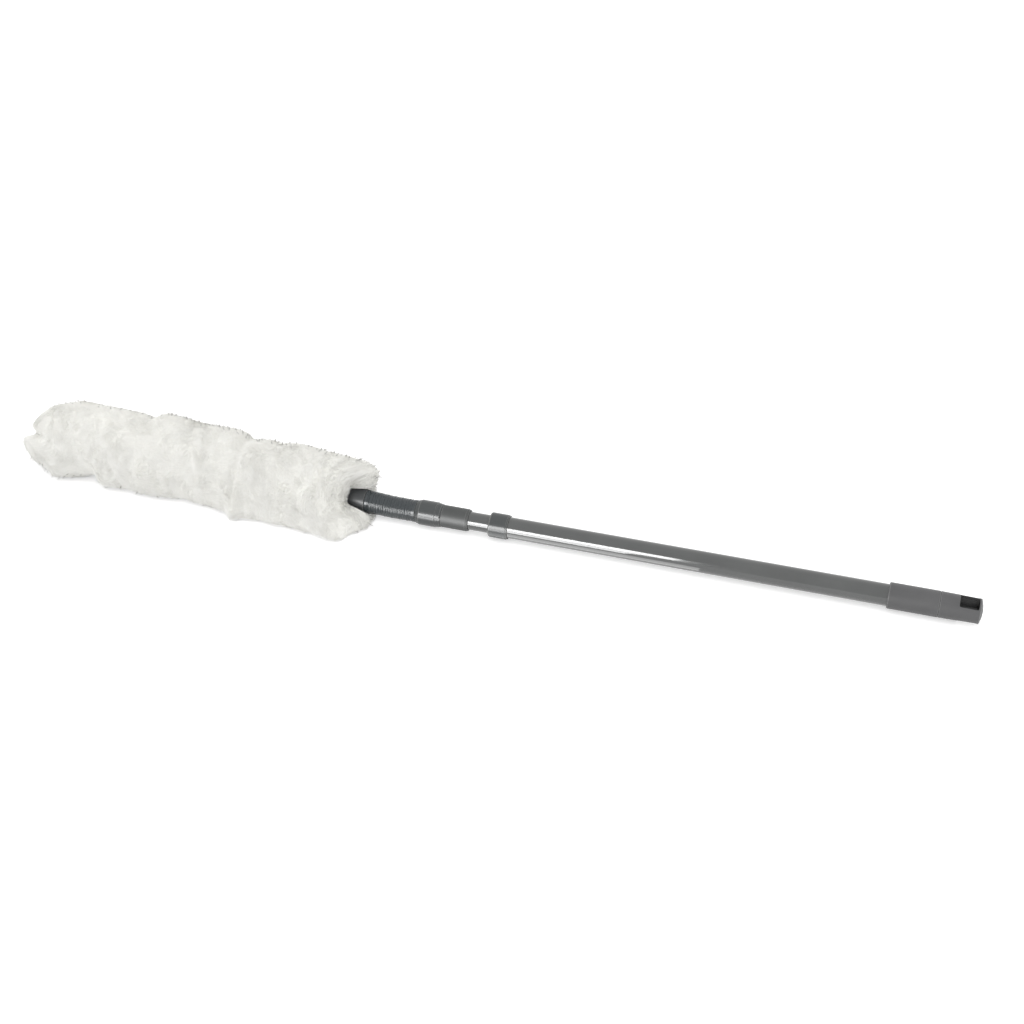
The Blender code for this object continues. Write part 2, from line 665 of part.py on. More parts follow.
def make_neck_wire(parent):
    """Make the bendable wire, straight in the socket and in the paddle and curved between them."""
    front, back = wire_ends()
    stations = [back, STUB_TO_HINGE, STUB_TO_HINGE / 2, 0.0, -STUB_TO_HINGE / 2, -STUB_TO_HINGE, front]
    curve = bpy.data.curves.new("neck_wire", "CURVE")
    curve.dimensions = "3D"
    curve.bevel_depth = WIRE_DIAMETER / 2
    curve.bevel_resolution = 2
    curve.use_fill_caps = True
    spline = curve.splines.new("POLY")
    spline.points.add(len(stations) - 1)
    for knot, along in zip(spline.points, stations):
        knot.co = (*neck_bend(Vector((along, 0.0, 0.0))), 1.0)
    wire = bpy.data.objects.new("neck_wire", curve)
    wire.parent = parent
    wire.location.x = HINGE
    curve.materials.append(STEEL)
    DUSTER.objects.link(wire)


def make_ferrule(parent):
    """Make the smooth ring between the boot and the sleeve."""
    turned("neck_ferrule", [
        (FERRULE_BACK, FERRULE_DIAMETER / 2, FERRULE_ROUND),
        (FERRULE_FRONT, FERRULE_FRONT_DIAMETER / 2, FERRULE_ROUND),
        (FERRULE_FRONT, BOOT_BORE),
        (FERRULE_BACK, BOOT_BORE),
    ], FERRULE_PLASTIC, parent)


def rounded_rectangle(low, high, corners):
    """Return the outline of a rectangle in X and Y with a radius at each end."""
    points = []
    spots = [(high[0], high[1], corners[1], 0), (low[0], high[1], corners[0], 1),
             (low[0], low[1], corners[0], 2), (high[0], low[1], corners[1], 3)]
    steps = 4
    for x, y, radius, quarter in spots:
        inward_x = -1 if x == high[0] else 1
        inward_y = -1 if y == high[1] else 1
        centre = Vector((x + inward_x * radius, y + inward_y * radius))
        for step in range(steps + 1):
            angle = (quarter + step / steps) * pi / 2
            points.append(centre + radius * Vector((cos(angle), sin(angle))))
    return points


def flat_mesh(name, outlines, thickness):
    """Return a mesh of one or more flat outlines in X and Y with a thickness."""
    curve = bpy.data.curves.new(name, "CURVE")
    curve.dimensions = "2D"
    curve.fill_mode = "BOTH"
    curve.extrude = thickness / 2
    for outline in outlines:
        spline = curve.splines.new("POLY")
        spline.points.add(len(outline) - 1)
        spline.use_cyclic_u = True
        for knot, point in zip(spline.points, outline):
            knot.co = (point.x, point.y, 0.0, 1.0)
    blank = bpy.data.objects.new(name, curve)
    GUIDES.objects.link(blank)
    bpy.context.view_layer.update()
    graph = bpy.context.evaluated_depsgraph_get()
    mesh = bpy.data.meshes.new_from_object(blank.evaluated_get(graph))
    bpy.data.objects.remove(blank)
    shape = bmesh.new()
    shape.from_mesh(mesh)
    bmesh.ops.remove_doubles(shape, verts=shape.verts, dist=0.000001)
    bmesh.ops.dissolve_limit(shape, angle_limit=radians(1), verts=shape.verts, edges=shape.edges)
    shape.to_mesh(mesh)
    shape.free()
    return mesh


def make_paddle(parent):
    """Make the flat slotted core of the head, with its round root in the ferrule and the boot."""
    half = PADDLE_WIDTH / 2
    outline = rounded_rectangle((PADDLE_FRONT, -half), (PADDLE_BACK, half),
                                (PADDLE_NOSE_ROUNDING * half, PADDLE_BACK_ROUNDING * half))
    paddle = new_piece("paddle", flat_mesh("paddle", [outline], PADDLE_THICKNESS), PADDLE_PLASTIC, parent)
    slots_back = PADDLE_BACK - PADDLE_ROOT
    slots_front = PADDLE_FRONT + PADDLE_NOSE_RIM
    pitch = (slots_back - slots_front + PADDLE_BRIDGE) / PADDLE_SLOTS
    slot_half = half - PADDLE_RIM
    corner = PADDLE_SLOT_ROUNDING * slot_half
    slots = []
    for index in range(PADDLE_SLOTS):
        start = slots_front + index * pitch
        slots.append(rounded_rectangle((start, -slot_half), (start + pitch - PADDLE_BRIDGE, slot_half),
                                       (corner, corner)))
    slots_mesh = flat_mesh("paddle_slots", slots, 2 * PADDLE_THICKNESS)
    boolean(paddle, cutter("paddle_slots", slots_mesh, parent), "DIFFERENCE")

    stub = STUB_DIAMETER / 2
    stub_back = -STUB_TO_HINGE
    boss_front = FERRULE_FRONT - ROOT_BOSS_LENGTH
    root = turned_mesh("paddle_root", [
        (stub_back, 0.0),
        (stub_back, stub, 2 * GAP),
        (boss_front, stub),
        (boss_front - ROOT_BOSS_CONE, PADDLE_THICKNESS / 2 - GAP),
        (boss_front - ROOT_BOSS_CONE, 0.0),
    ], SIDES, True)
    boolean(paddle, cutter("paddle_root", root, parent), "UNION")
    wire_front, _ = wire_ends()
    bore = turned_mesh("paddle_bore", [
        (stub_back + STUB_TO_HINGE, 0.0),
        (stub_back + STUB_TO_HINGE, WIRE_BORE),
        (wire_front - GAP, WIRE_BORE),
        (wire_front - GAP, 0.0),
    ], SMALL_SIDES, True)
    boolean(paddle, cutter("paddle_bore", bore, parent), "DIFFERENCE")
    seat_half = CRIMP_DIAMETER / 2 + GAP
    seat = block_mesh("crimp_seat",
                      (wire_front - GAP, -seat_half, -stub - GAP),
                      (wire_front + CRIMP_LENGTH + GAP, seat_half, stub + GAP))
    boolean(paddle, cutter("crimp_seat", seat, parent), "DIFFERENCE")


def ring_at(along, points):
    """Return a ring of a section, square to the head's axis."""
    return [Vector((along, y, z)) for y, z in points]


def pocket_section(along, extra):
    """Return the knit's section at a place along the head, grown by a distance."""
    share = min(1.0, max(0.0, (BACKING_BACK - along) / POCKET_TAPER))
    ease = share * share * (3 - 2 * share)
    mouth = MOUTH_DIAMETER / 2
    flat_width = PADDLE_WIDTH / 2 + PADDLE_PLAY
    flat_height = PADDLE_THICKNESS / 2 + PADDLE_PLAY
    half_width = mouth + ease * (flat_width + 2 * PADDLE_PLAY - mouth)
    half_height = mouth + ease * (flat_height - mouth)
    squareness = 2.0 + (POCKET_SQUARENESS - 2.0) * ease
    return half_width + extra, half_height + extra, squareness


def pocket_rings(front, extra):
    """Return the rings of the pocket from its mouth to its nose, grown by a distance."""
    rings = []
    nose = front + POCKET_NOSE
    taper_end = BACKING_BACK - POCKET_TAPER
    stations = [BACKING_BACK - POCKET_TAPER * step / POCKET_RINGS for step in range(POCKET_RINGS + 1)]
    stations += [(taper_end + nose) / 2, nose]
    for along in stations:
        rings.append(ring_at(along, section(*pocket_section(along, extra))))
    half_width, half_height, squareness = pocket_section(nose, extra)
    for share in (0.5, 0.85, 1.0):
        narrowing = sqrt(1 - share * share * 0.75)
        points = section(half_width * narrowing, half_height, squareness)
        rings.append(ring_at(nose - share * POCKET_NOSE, points))
    rings.append([Vector((front, 0.0, 0.0))])
    return rings


def make_backing(parent):
    """Make the knit pocket that the pile is rooted in, open at its mouth."""
    outside = pocket_rings(BACKING_FRONT, BACKING_THICKNESS)
    inside = pocket_rings(POCKET_FRONT, 0.0)
    loft("sleeve_backing", list(reversed(outside)) + inside, KNIT, parent)


def make_hem(parent):
    """Make the elastic hem, a soft roll round the ferrule."""
    bore = MOUTH_DIAMETER / 2
    turned("sleeve_hem", [
        (HEM_BACK, bore + HEM_THICKNESS, HEM_THICKNESS / 2),
        (HEM_FRONT, bore + HEM_THICKNESS, HEM_THICKNESS / 2),
        (HEM_FRONT, bore),
        (HEM_BACK, bore, HEM_THICKNESS / 2),
    ], HEM_ELASTIC, parent)


def between(rows, place):
    """Return a table's value at a place between its rows."""
    for (before, low), (after, high) in zip(rows, rows[1:]):
        if place <= after:
            return low + (high - low) * max(0.0, place - before) / (after - before)
    return rows[-1][1]


def end_round(distance, length):
    """Return the share of the full radius at a distance from a rounded end."""
    return sqrt(1 - (1 - min(1.0, distance / length)) ** 2)


def pile_reach(share, angle):
    """Return the swell of the pile's tufts at a share of its length from the mouth, 1 where plain."""
    above = between(UPPER_REACH, share) - 1
    below = between(LOWER_REACH, share) - 1
    to_above = max(0.0, cos(angle - UPPER_ANGLE)) ** 2
    to_below = max(0.0, cos(angle - LOWER_ANGLE)) ** 2
    other = BETWEEN_SHARE * (above + below) * (1 - to_above - to_below)
    return 1 + above * to_above + below * to_below + other


def mouth_shift(from_mouth, angle):
    """Return how far the mouth opens towards the tip at a direction, fading along the pile."""
    share = max(0.0, 1 - from_mouth / MOUTH_SHIFT_LENGTH)
    turn = atan2(sin(angle - MOUTH_OPENING_ANGLE), cos(angle - MOUTH_OPENING_ANGLE))
    opening = MOUTH_OPENING * exp(-(turn / MOUTH_OPENING_HALF_ANGLE) ** 4)
    shorter = MOUTH_SHORTER_ABOVE * max(0.0, cos(angle - UPPER_ANGLE))
    return (opening + shorter) * share * share * (3 - 2 * share)


def pile_outside():
    """Return the rings of the pile's outside, from its tip to its lip."""
    rings = []
    length = PILE_BACK - PILE_FRONT
    for index in range(1, PILE_RINGS + 1):
        share = index / PILE_RINGS
        from_tip = length * (share - 0.5 * sin(2 * pi * share) / pi * 0.85)
        from_mouth = length - from_tip
        ring = []
        for side in range(SIDES):
            angle = 2 * pi * side / SIDES
            radius = PILE_RADIUS * pile_reach(from_mouth / length, angle)
            beyond_lip = (radius - PILE_LIP_RADIUS) * end_round(from_mouth, PILE_MOUTH_ROUND_LENGTH)
            radius = PILE_LIP_RADIUS + beyond_lip
            radius *= end_round(from_tip, PILE_TIP_ROUND_LENGTH)
            along = PILE_FRONT + from_tip - mouth_shift(from_mouth, angle)
            ring.append(sagged(Vector((along, radius * cos(angle), radius * sin(angle)))))
        rings.append(ring)
    return rings


def sagged(point):
    """Move a point of the pile towards the low front side, and back where the pile parts."""
    from_tip = point.x - PILE_FRONT
    end = max(0.0, 1 - from_tip / PILE_TIP_ROUND_LENGTH)
    sag = PILE_SAG + PILE_TIP_SAG * end ** 2
    moved = point + Vector((0.0, sag * cos(LOWER_ANGLE), sag * sin(LOWER_ANGLE)))
    across = moved.y * cos(LOWER_ANGLE) + moved.z * sin(LOWER_ANGLE)
    near = min(1.0, max(0.0, 1 - from_tip / NOTCH_LENGTH))
    moved.x += NOTCH_DEPTH * near * exp(-((across - NOTCH_OFFSET) / NOTCH_HALF_WIDTH) ** 2)
    return moved


def spread_on_ground(point, frame):
    """Widen the pile's low side near the ground, where the head's weight presses it."""
    placed = frame @ point
    from_mouth = (PILE_BACK - point.x) / MOUTH_SPREAD_LENGTH
    widest = GROUND_SPREAD_SHARE + MOUTH_SPREAD_SHARE * exp(-(from_mouth - 0.75) ** 2)
    lowness = min(1.0, max(0.0, -4 * point.z / PILE_RADIUS))
    height = max(placed.z, 0.0) / GROUND_SPREAD_HEIGHT
    placed.y *= 1 + widest * lowness * exp(-height ** 2)
    return frame.inverted() @ placed


def pressed_flat(point, frame):
    """Lift a point of the head that would lie below the ground to the ground."""
    placed = frame @ point
    placed.z = max(placed.z, 0.0)
    return frame.inverted() @ placed


def evened(rings):
    """Widen the pile's far side, so that the duster's box lies evenly on both sides of its axis."""
    sides = [point.y for ring in rings for point in ring]
    wider = -min(sides) / max(sides)
    return [[Vector((point.x, max(point.y, point.y * wider), point.z)) for point in ring]
            for ring in rings]


def mouth_ring(share, radius, frame):
    """Return a ring inside the pile's mouth, at a share of the way from its lip to the hem."""
    ring = []
    for side in range(SIDES):
        angle = 2 * pi * side / SIDES
        lip = PILE_BACK - mouth_shift(0.0, angle)
        point = Vector((lip + share * (HEM_BACK - lip), radius * cos(angle), radius * sin(angle)))
        ring.append(pressed_flat(point, frame))
    return ring


def make_pile(parent):
    """Make the pile as one closed body: outside, mouth, and the space that the knit fills."""
    bpy.context.view_layer.update()
    frame = parent.matrix_world.copy()
    outside = [[pressed_flat(spread_on_ground(point, frame), frame) for point in ring]
               for ring in pile_outside()]
    outside = evened(outside)
    tip = [[sagged(Vector((PILE_FRONT, 0.0, 0.0)))]]
    hem = MOUTH_DIAMETER / 2 + HEM_THICKNESS + GAP
    mouth = [mouth_ring(0.1, PILE_MOUTH_RADIUS, frame), mouth_ring(0.7, hem + GAP, frame)]
    mouth += [ring_at(HEM_BACK, section(hem, hem, 2.0))]
    mouth += [ring_at(HEM_FRONT - GAP / 2, section(hem, hem, 2.0))]
    inside = pocket_rings(BACKING_FRONT - GAP, BACKING_THICKNESS + PADDLE_PLAY)
    loft("sleeve_pile", tip + outside + mouth + inside, PILE, parent)


def centre_on_origin(root):
    """Slide the whole duster along X until the origin is at its middle."""
    bpy.context.view_layer.update()
    graph = bpy.context.evaluated_depsgraph_get()
    places = []
    for piece in DUSTER.objects:
        evaluated = piece.evaluated_get(graph)
        mesh = evaluated.to_mesh()
        places += [(piece.matrix_world @ vertex.co).x for vertex in mesh.vertices]
        evaluated.to_mesh_clear()
    root.location.x -= (min(places) + max(places)) / 2


clear_scene()
DUSTER = new_collection("extendable_duster")
CUTTERS = new_collection("cutters")
GUIDES = new_collection("guides")

TUBE_PAINT = new_material("tube_paint", (0.16, 0.165, 0.165), 0.22, 0.1)
GREY_PLASTIC = new_material("grey_plastic", (0.17, 0.18, 0.18), 0.35)
GRIP_PLASTIC = new_material("grip_plastic", (0.15, 0.15, 0.15), 0.45)
LOCK_PLASTIC = new_material("lock_plastic", (0.55, 0.55, 0.53), 0.45)
BOOT_RUBBER = new_material("boot_rubber", (0.13, 0.14, 0.145), 0.4)
PADDLE_PLASTIC = new_material("paddle_plastic", (0.5, 0.5, 0.5), 0.4)
STEEL = new_material("steel", (0.6, 0.6, 0.6), 0.3, 1.0)
KNIT = new_material("knit", (0.78, 0.78, 0.76), 0.9)
FERRULE_PLASTIC = new_material("ferrule_plastic", (0.075, 0.08, 0.08), 0.4)
HEM_ELASTIC = new_material("hem_elastic", (0.5, 0.5, 0.5), 0.85)
PILE = new_material("pile", (0.86, 0.86, 0.84), 0.9)

pole_axis = new_empty("pole_axis", None, (0.0, 0.0, AXIS_HEIGHT))
lock_axis = new_empty("lock_axis", pole_axis)
inner_pole_axis = new_empty("inner_pole_axis", lock_axis)
socket_axis = new_empty("socket_axis", inner_pole_axis)
neck_hinge = new_empty("neck_hinge", socket_axis, (HINGE, 0.0, 0.0), HEAD_TILT)
sleeve_slide = new_empty("sleeve_slide", neck_hinge)

make_outer_tube(pole_axis)
make_grip(pole_axis)
make_hanging_cap(pole_axis)
make_lock_ring(lock_axis)
make_inner_tube(inner_pole_axis)
make_lock_core(inner_pole_axis)
make_lock_fastening(inner_pole_axis)
make_head_socket(socket_axis)
make_crimp("rear_wire_crimp", SOCKET_FRONT + SOCKET_FRONT_WALL + GAP, socket_axis)
make_neck_boot(socket_axis)
make_neck_wire(socket_axis)
make_crimp("front_wire_crimp", wire_ends()[0], neck_hinge)
make_ferrule(neck_hinge)
make_paddle(neck_hinge)
make_backing(sleeve_slide)
make_hem(sleeve_slide)
make_pile(sleeve_slide)
centre_on_origin(pole_axis)
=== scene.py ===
"""The dressed extendable duster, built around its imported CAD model.

Every size is in metres in the CAD model's own frame. X runs along the pole with the head
towards -X, Z is up, and the duster lies on the plane z = 0. "Along" is measured from the front
face of the tube collar on the pole, and from the neck's hinge on the head.
"""

import logging
from dataclasses import dataclass
from enum import Enum
from math import atan2, cos, pi, radians, sin, tan
from typing import Sequence

import bpy
import numpy as np
from mathutils import Matrix, Vector
from mathutils.kdtree import KDTree


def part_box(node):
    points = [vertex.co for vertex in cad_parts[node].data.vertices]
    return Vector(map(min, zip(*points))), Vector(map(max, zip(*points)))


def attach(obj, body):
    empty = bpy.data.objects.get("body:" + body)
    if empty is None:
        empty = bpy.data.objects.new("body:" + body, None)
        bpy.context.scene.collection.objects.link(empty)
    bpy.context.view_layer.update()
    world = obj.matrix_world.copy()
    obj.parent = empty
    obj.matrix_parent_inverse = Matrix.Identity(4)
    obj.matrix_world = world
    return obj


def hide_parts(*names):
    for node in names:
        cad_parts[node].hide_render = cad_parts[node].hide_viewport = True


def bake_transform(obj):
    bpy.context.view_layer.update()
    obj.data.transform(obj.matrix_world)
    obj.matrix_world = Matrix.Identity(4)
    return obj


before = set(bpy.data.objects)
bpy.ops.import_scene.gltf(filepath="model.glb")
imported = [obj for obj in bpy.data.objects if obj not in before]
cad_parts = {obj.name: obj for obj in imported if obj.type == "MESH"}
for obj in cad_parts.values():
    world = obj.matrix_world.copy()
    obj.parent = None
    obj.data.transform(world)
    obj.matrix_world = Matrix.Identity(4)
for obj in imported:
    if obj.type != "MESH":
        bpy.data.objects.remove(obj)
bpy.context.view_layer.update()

LOG = logging.getLogger("duster")

AXIS_HEIGHT = 0.0131
COLLAR_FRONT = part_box("tube_collar")[0].x
HINGE_ALONG = -0.1064
HINGE = Vector((COLLAR_FRONT + HINGE_ALONG, 0.0, AXIS_HEIGHT))
HEAD_TILT = radians(3.5)
HEAD_PLACE = Matrix.Translation(HINGE) @ Matrix.Rotation(HEAD_TILT, 4, "Y")
FREE_NECK = 0.0060
GAP = 0.0003

Colour = tuple[float, float, float]
Place = tuple[float, float, float]
Ring = tuple[float, float, float]
Corner = tuple[float, ...]
Rows = Sequence[tuple[float, float]]
Array = np.ndarray


class Body(Enum):
    """The bodies of the CAD model that modelled pieces ride on."""

    POLE = "pole"
    INNER_POLE = "inner_pole"
    SOCKET = "socket"
    HEAD = "head"
    SLEEVE = "sleeve"


class Slot(Enum):
    """The record's material slots that the modelled pieces' finishes come from."""

    TUBE_PAINT = "tube_paint"
    GREY_PLASTIC = "grey_plastic"
    FERRULE_PLASTIC = "ferrule_plastic"
    GRIP_PLASTIC = "grip_plastic"
    BOOT_RUBBER = "boot_rubber"
    STEEL = "steel"
    KNIT = "knit"
    HEM_ELASTIC = "hem_elastic"
    PILE = "pile"


class NodeSheet:
    """A node tree that nodes are added to by name.

    Attributes:
        tree: The node tree of a material, a world or a group.
    """

    def __init__(self, tree: bpy.types.NodeTree) -> None:
        """Start on an empty sheet.

        Args:
            tree: The node tree to fill; what it holds is cleared.
        """
        self.tree = tree
        tree.nodes.clear()

    def add(self, kind: str, inputs: dict | None = None, **settings: object) -> bpy.types.Node:
        """Add a node, set it up and wire it.

        Args:
            kind: The node's type name.
            inputs: For each socket, a value or the socket that feeds it.
            **settings: The node's own properties.

        Returns:
            The new node.
        """
        node = self.tree.nodes.new(kind)
        for name, value in settings.items():
            setattr(node, name, value)
        for socket, value in (inputs or {}).items():
            if isinstance(value, bpy.types.NodeSocket):
                self.tree.links.new(value, node.inputs[socket])
            else:
                node.inputs[socket].default_value = value
        return node

    def blend_colours(self, mask: bpy.types.NodeSocket, low: object, high: object) -> bpy.types.NodeSocket:
        """Return the colour between two colours that a mask picks.

        Args:
            mask: The socket that gives 0 for low and 1 for high.
            low: A colour or a socket.
            high: A colour or a socket.
        """
        mix = self.add("ShaderNodeMix", data_type="RGBA")
        self.tree.links.new(mask, mix.inputs["Factor"])
        for name, value in (("A", low), ("B", high)):
            socket = next(item for item in mix.inputs if item.name == name and item.type == "RGBA")
            if isinstance(value, bpy.types.NodeSocket):
                self.tree.links.new(value, socket)
            else:
                socket.default_value = (*value, 1.0)
        return next(item for item in mix.outputs if item.type == "RGBA")

    def spread(self, value: bpy.types.NodeSocket, low: float, high: float) -> bpy.types.NodeSocket:
        """Return a value carried from 0..1 to a range.

        Args:
            value: The socket that gives the value.
            low: What 0 becomes.
            high: What 1 becomes.
        """
        node = self.add("ShaderNodeMapRange", {"Value": value, "To Min": low, "To Max": high})
        return node.outputs["Result"]

    def maths(self, operation: str, *values: object) -> bpy.types.NodeSocket:
        """Return the result of a sum on values or sockets.

        Args:
            operation: The kind of sum.
            *values: What it is worked out from.
        """
        return self.add("ShaderNodeMath", dict(enumerate(values)), operation=operation).outputs[0]

    def stored(self, name: str) -> bpy.types.NodeSocket:
        """Return a number that the mesh stores on its vertices.

        Args:
            name: The attribute's name.
        """
        node = self.add("ShaderNodeAttribute", attribute_name=name, attribute_type="GEOMETRY")
        return node.outputs["Fac"]

    def surface(self, inputs: dict, height: bpy.types.NodeSocket, strength: float, rise: float) -> None:
        """End a material in a surface with a bump.

        Args:
            inputs: The surface's inputs.
            height: The socket that gives the bump's height.
            strength: The bump's strength.
            rise: How high its highest places stand.
        """
        bump = self.add("ShaderNodeBump", {"Strength": strength, "Distance": rise, "Height": height})
        shader = self.add("ShaderNodeBsdfPrincipled", {**inputs, "Normal": bump.outputs["Normal"]})
        self.add("ShaderNodeOutputMaterial", {"Surface": shader.outputs["BSDF"]})


def started_material(name: str) -> tuple[bpy.types.Material, NodeSheet]:
    """Return a new material and the empty sheet of its nodes.

    Args:
        name: The material's name.
    """
    material = bpy.data.materials.new(name)
    material.use_nodes = True
    return material, NodeSheet(material.node_tree)


class Effects:
    """The shader node groups that several finishes share."""

    def __init__(self) -> None:
        """Build each group once."""
        self.grain = self._noise_group("moulded_grain", (1.0, 1.0, 1.0), 2.0)
        self.streaks = self._noise_group("drawn_streaks", (0.02, 1.0, 1.0), 3.0)
        self.cloud = self._noise_group("cloudy_tone", (0.6, 1.0, 1.0), 4.0)
        self.knit = self._knit_group()

    @staticmethod
    def _noise_group(name: str, stretch: Place, detail: float) -> bpy.types.NodeTree:
        """Return a group that gives a noise on the piece's own coordinates.

        Args:
            name: The group's name.
            stretch: How the pattern is scaled along X, Y and Z.
            detail: The noise's detail.
        """
        tree = bpy.data.node_groups.new(name, "ShaderNodeTree")
        tree.interface.new_socket("Scale", in_out="INPUT", socket_type="NodeSocketFloat")
        tree.interface.new_socket("Value", in_out="OUTPUT", socket_type="NodeSocketFloat")
        sheet = NodeSheet(tree)
        entry = sheet.add("NodeGroupInput")
        place = sheet.add("ShaderNodeTexCoord")
        mapping = sheet.add("ShaderNodeMapping", {"Vector": place.outputs["Object"], "Scale": stretch})
        noise = sheet.add("ShaderNodeTexNoise", {
            "Vector": mapping.outputs["Vector"],
            "Scale": entry.outputs["Scale"],
            "Detail": detail,
            "Roughness": 0.55,
        })
        sheet.add("NodeGroupOutput", {"Value": noise.outputs["Fac"]})
        return tree

    @staticmethod
    def _knit_group() -> bpy.types.NodeTree:
        """Return a group that gives the loops of a knit from the piece's UV map."""
        tree = bpy.data.node_groups.new("knit_loops", "ShaderNodeTree")
        for name in ("Wales", "Courses"):
            tree.interface.new_socket(name, in_out="INPUT", socket_type="NodeSocketFloat")
        tree.interface.new_socket("Height", in_out="OUTPUT", socket_type="NodeSocketFloat")
        sheet = NodeSheet(tree)
        entry = sheet.add("NodeGroupInput")
        uv = sheet.add("ShaderNodeUVMap", uv_map="UVMap")
        parts = sheet.add("ShaderNodeSeparateXYZ", {"Vector": uv.outputs["UV"]})
        across = sheet.maths("MULTIPLY", parts.outputs["X"], entry.outputs["Wales"])
        along = sheet.maths("MULTIPLY", parts.outputs["Y"], entry.outputs["Courses"])
        fold = sheet.maths("PINGPONG", across, 0.5)
        turn = sheet.maths("MULTIPLY", sheet.maths("ADD", along, fold), 2 * pi)
        loops = sheet.maths("MULTIPLY_ADD", sheet.maths("SINE", turn), 0.5, 0.5)
        sheet.add("NodeGroupOutput", {"Height": sheet.maths("ADD", loops, fold)})
        return tree

    @staticmethod
    def place(sheet: NodeSheet, group: bpy.types.NodeTree, **values: float) -> bpy.types.NodeSocket:
        """Return the output of one use of a group.

        Args:
            sheet: The material's sheet.
            group: The group to use.
            **values: The group's inputs.
        """
        inputs = {name.capitalize(): value for name, value in values.items()}
        return sheet.add("ShaderNodeGroup", inputs, node_tree=group).outputs[0]


@dataclass(frozen=True)
class HardFinish:
    """A moulded or painted surface.

    Attributes:
        name: The material's name.
        colour: Its base colour.
        worn: Its colour where edges are rubbed.
        roughness: Its lowest and highest roughness.
        grain_scale: How fine its grain is.
        grain_depth: How strong the bump of its grain is.
        coat: How much clear gloss lies on it.
        streaked: Whether the grain is drawn out along the pole.
        metallic: Whether it is bare metal.
        tones: The darkest and the lightest shares of its colour that its cloudy tone gives.
        painted_hollow_shade: The share of its colour that is left where the shade inside a hollow is painted
            in.
    """

    name: str
    colour: Colour
    worn: Colour
    roughness: tuple[float, float]
    grain_scale: float
    grain_depth: float
    coat: float = 0.0
    streaked: bool = False
    metallic: float = 0.0
    tones: tuple[float, float] = (0.84, 1.10)
    painted_hollow_shade: float = 0.04

    def material(self, effects: Effects) -> bpy.types.Material:
        """Return the finish as a material.

        Args:
            effects: The shared node groups.
        """
        material, sheet = started_material(self.name)
        pattern = effects.streaks if self.streaked else effects.grain
        grain = effects.place(sheet, pattern, scale=self.grain_scale)
        cloud = effects.place(sheet, effects.cloud, scale=38.0)
        dark, light = (self._toned(share) for share in self.tones)
        base = sheet.blend_colours(sheet.spread(cloud, -0.6, 1.6), dark, light)
        rubbed = sheet.maths("MULTIPLY", sheet.stored("edge"), grain)
        plain = sheet.blend_colours(rubbed, base, self.worn)
        # Painted shade: vertices marked hollow keep only a small share of the colour, standing in for the
        # shade deep inside the cap's window.
        sheet.surface({
            "Base Color": sheet.blend_colours(sheet.stored("hollow"), plain, self._toned(self.painted_hollow_shade)),
            "Roughness": sheet.spread(cloud, *self.roughness),
            "Metallic": self.metallic,
            "Coat Weight": self.coat,
            "Coat Roughness": 0.06,
        }, grain, self.grain_depth, 0.0004)
        return material

    def _toned(self, share: float) -> Colour:
        """Return the base colour at a share of its brightness.

        Args:
            share: The share.
        """
        return tuple(channel * share for channel in self.colour)


@dataclass(frozen=True)
class YarnFinish:
    """The pile's fine white yarn, painted darker towards its root as shade deep in the pile.

    Attributes:
        name: The material's name.
        root: Its colour deep in the pile, darker there as painted shade.
        tip: Its colour at the tips.
        shaded: The colour that some tufts lean to.
        stray: The dark grey painted on the ends of the tufts that stand out, as shade on the wisps at the
            outline.
    """

    name: str
    root: Colour
    tip: Colour
    shaded: Colour
    stray: Colour

    def material(self, effects: Effects) -> bpy.types.Material:
        """Return the finish as a material.

        Args:
            effects: The shared node groups.
        """
        material, sheet = started_material(self.name)
        cloud = effects.place(sheet, effects.cloud, scale=26.0)
        tone = sheet.maths("MULTIPLY", sheet.stored("tuft"), cloud)
        tip = sheet.blend_colours(tone, self.tip, self.shaded)
        # Painted shade: the colour darkens from the tip towards the root, for the shade deep in the pile.
        whole = sheet.blend_colours(sheet.stored("along"), self.root, tip)
        # Painted shade: the ends of stray locks take the dark grey stray colour.
        sheet.surface({
            "Base Color": sheet.blend_colours(sheet.stored("stray"), whole, self.stray),
            "Roughness": 0.95,
            "Specular IOR Level": 0.15,
        }, effects.place(sheet, effects.grain, scale=2600.0), 0.3, 0.0002)
        return material


@dataclass(frozen=True)
class KnitFinish:
    """A knitted fabric, on the piece's UV map.

    Attributes:
        name: The material's name.
        thread: The colour of its loops.
        gap: The colour between them.
        wales: Columns of loops over the map's width.
        courses: Rows of loops over its height.
    """

    name: str
    thread: Colour
    gap: Colour
    wales: float
    courses: float

    def material(self, effects: Effects) -> bpy.types.Material:
        """Return the finish as a material.

        Args:
            effects: The shared node groups.
        """
        material, sheet = started_material(self.name)
        height = effects.place(sheet, effects.knit, wales=self.wales, courses=self.courses)
        sheet.surface({
            "Base Color": sheet.blend_colours(height, self.gap, self.thread),
            "Roughness": 0.92,
            "Specular IOR Level": 0.2,
        }, height, 0.6, 0.0005)
        return material


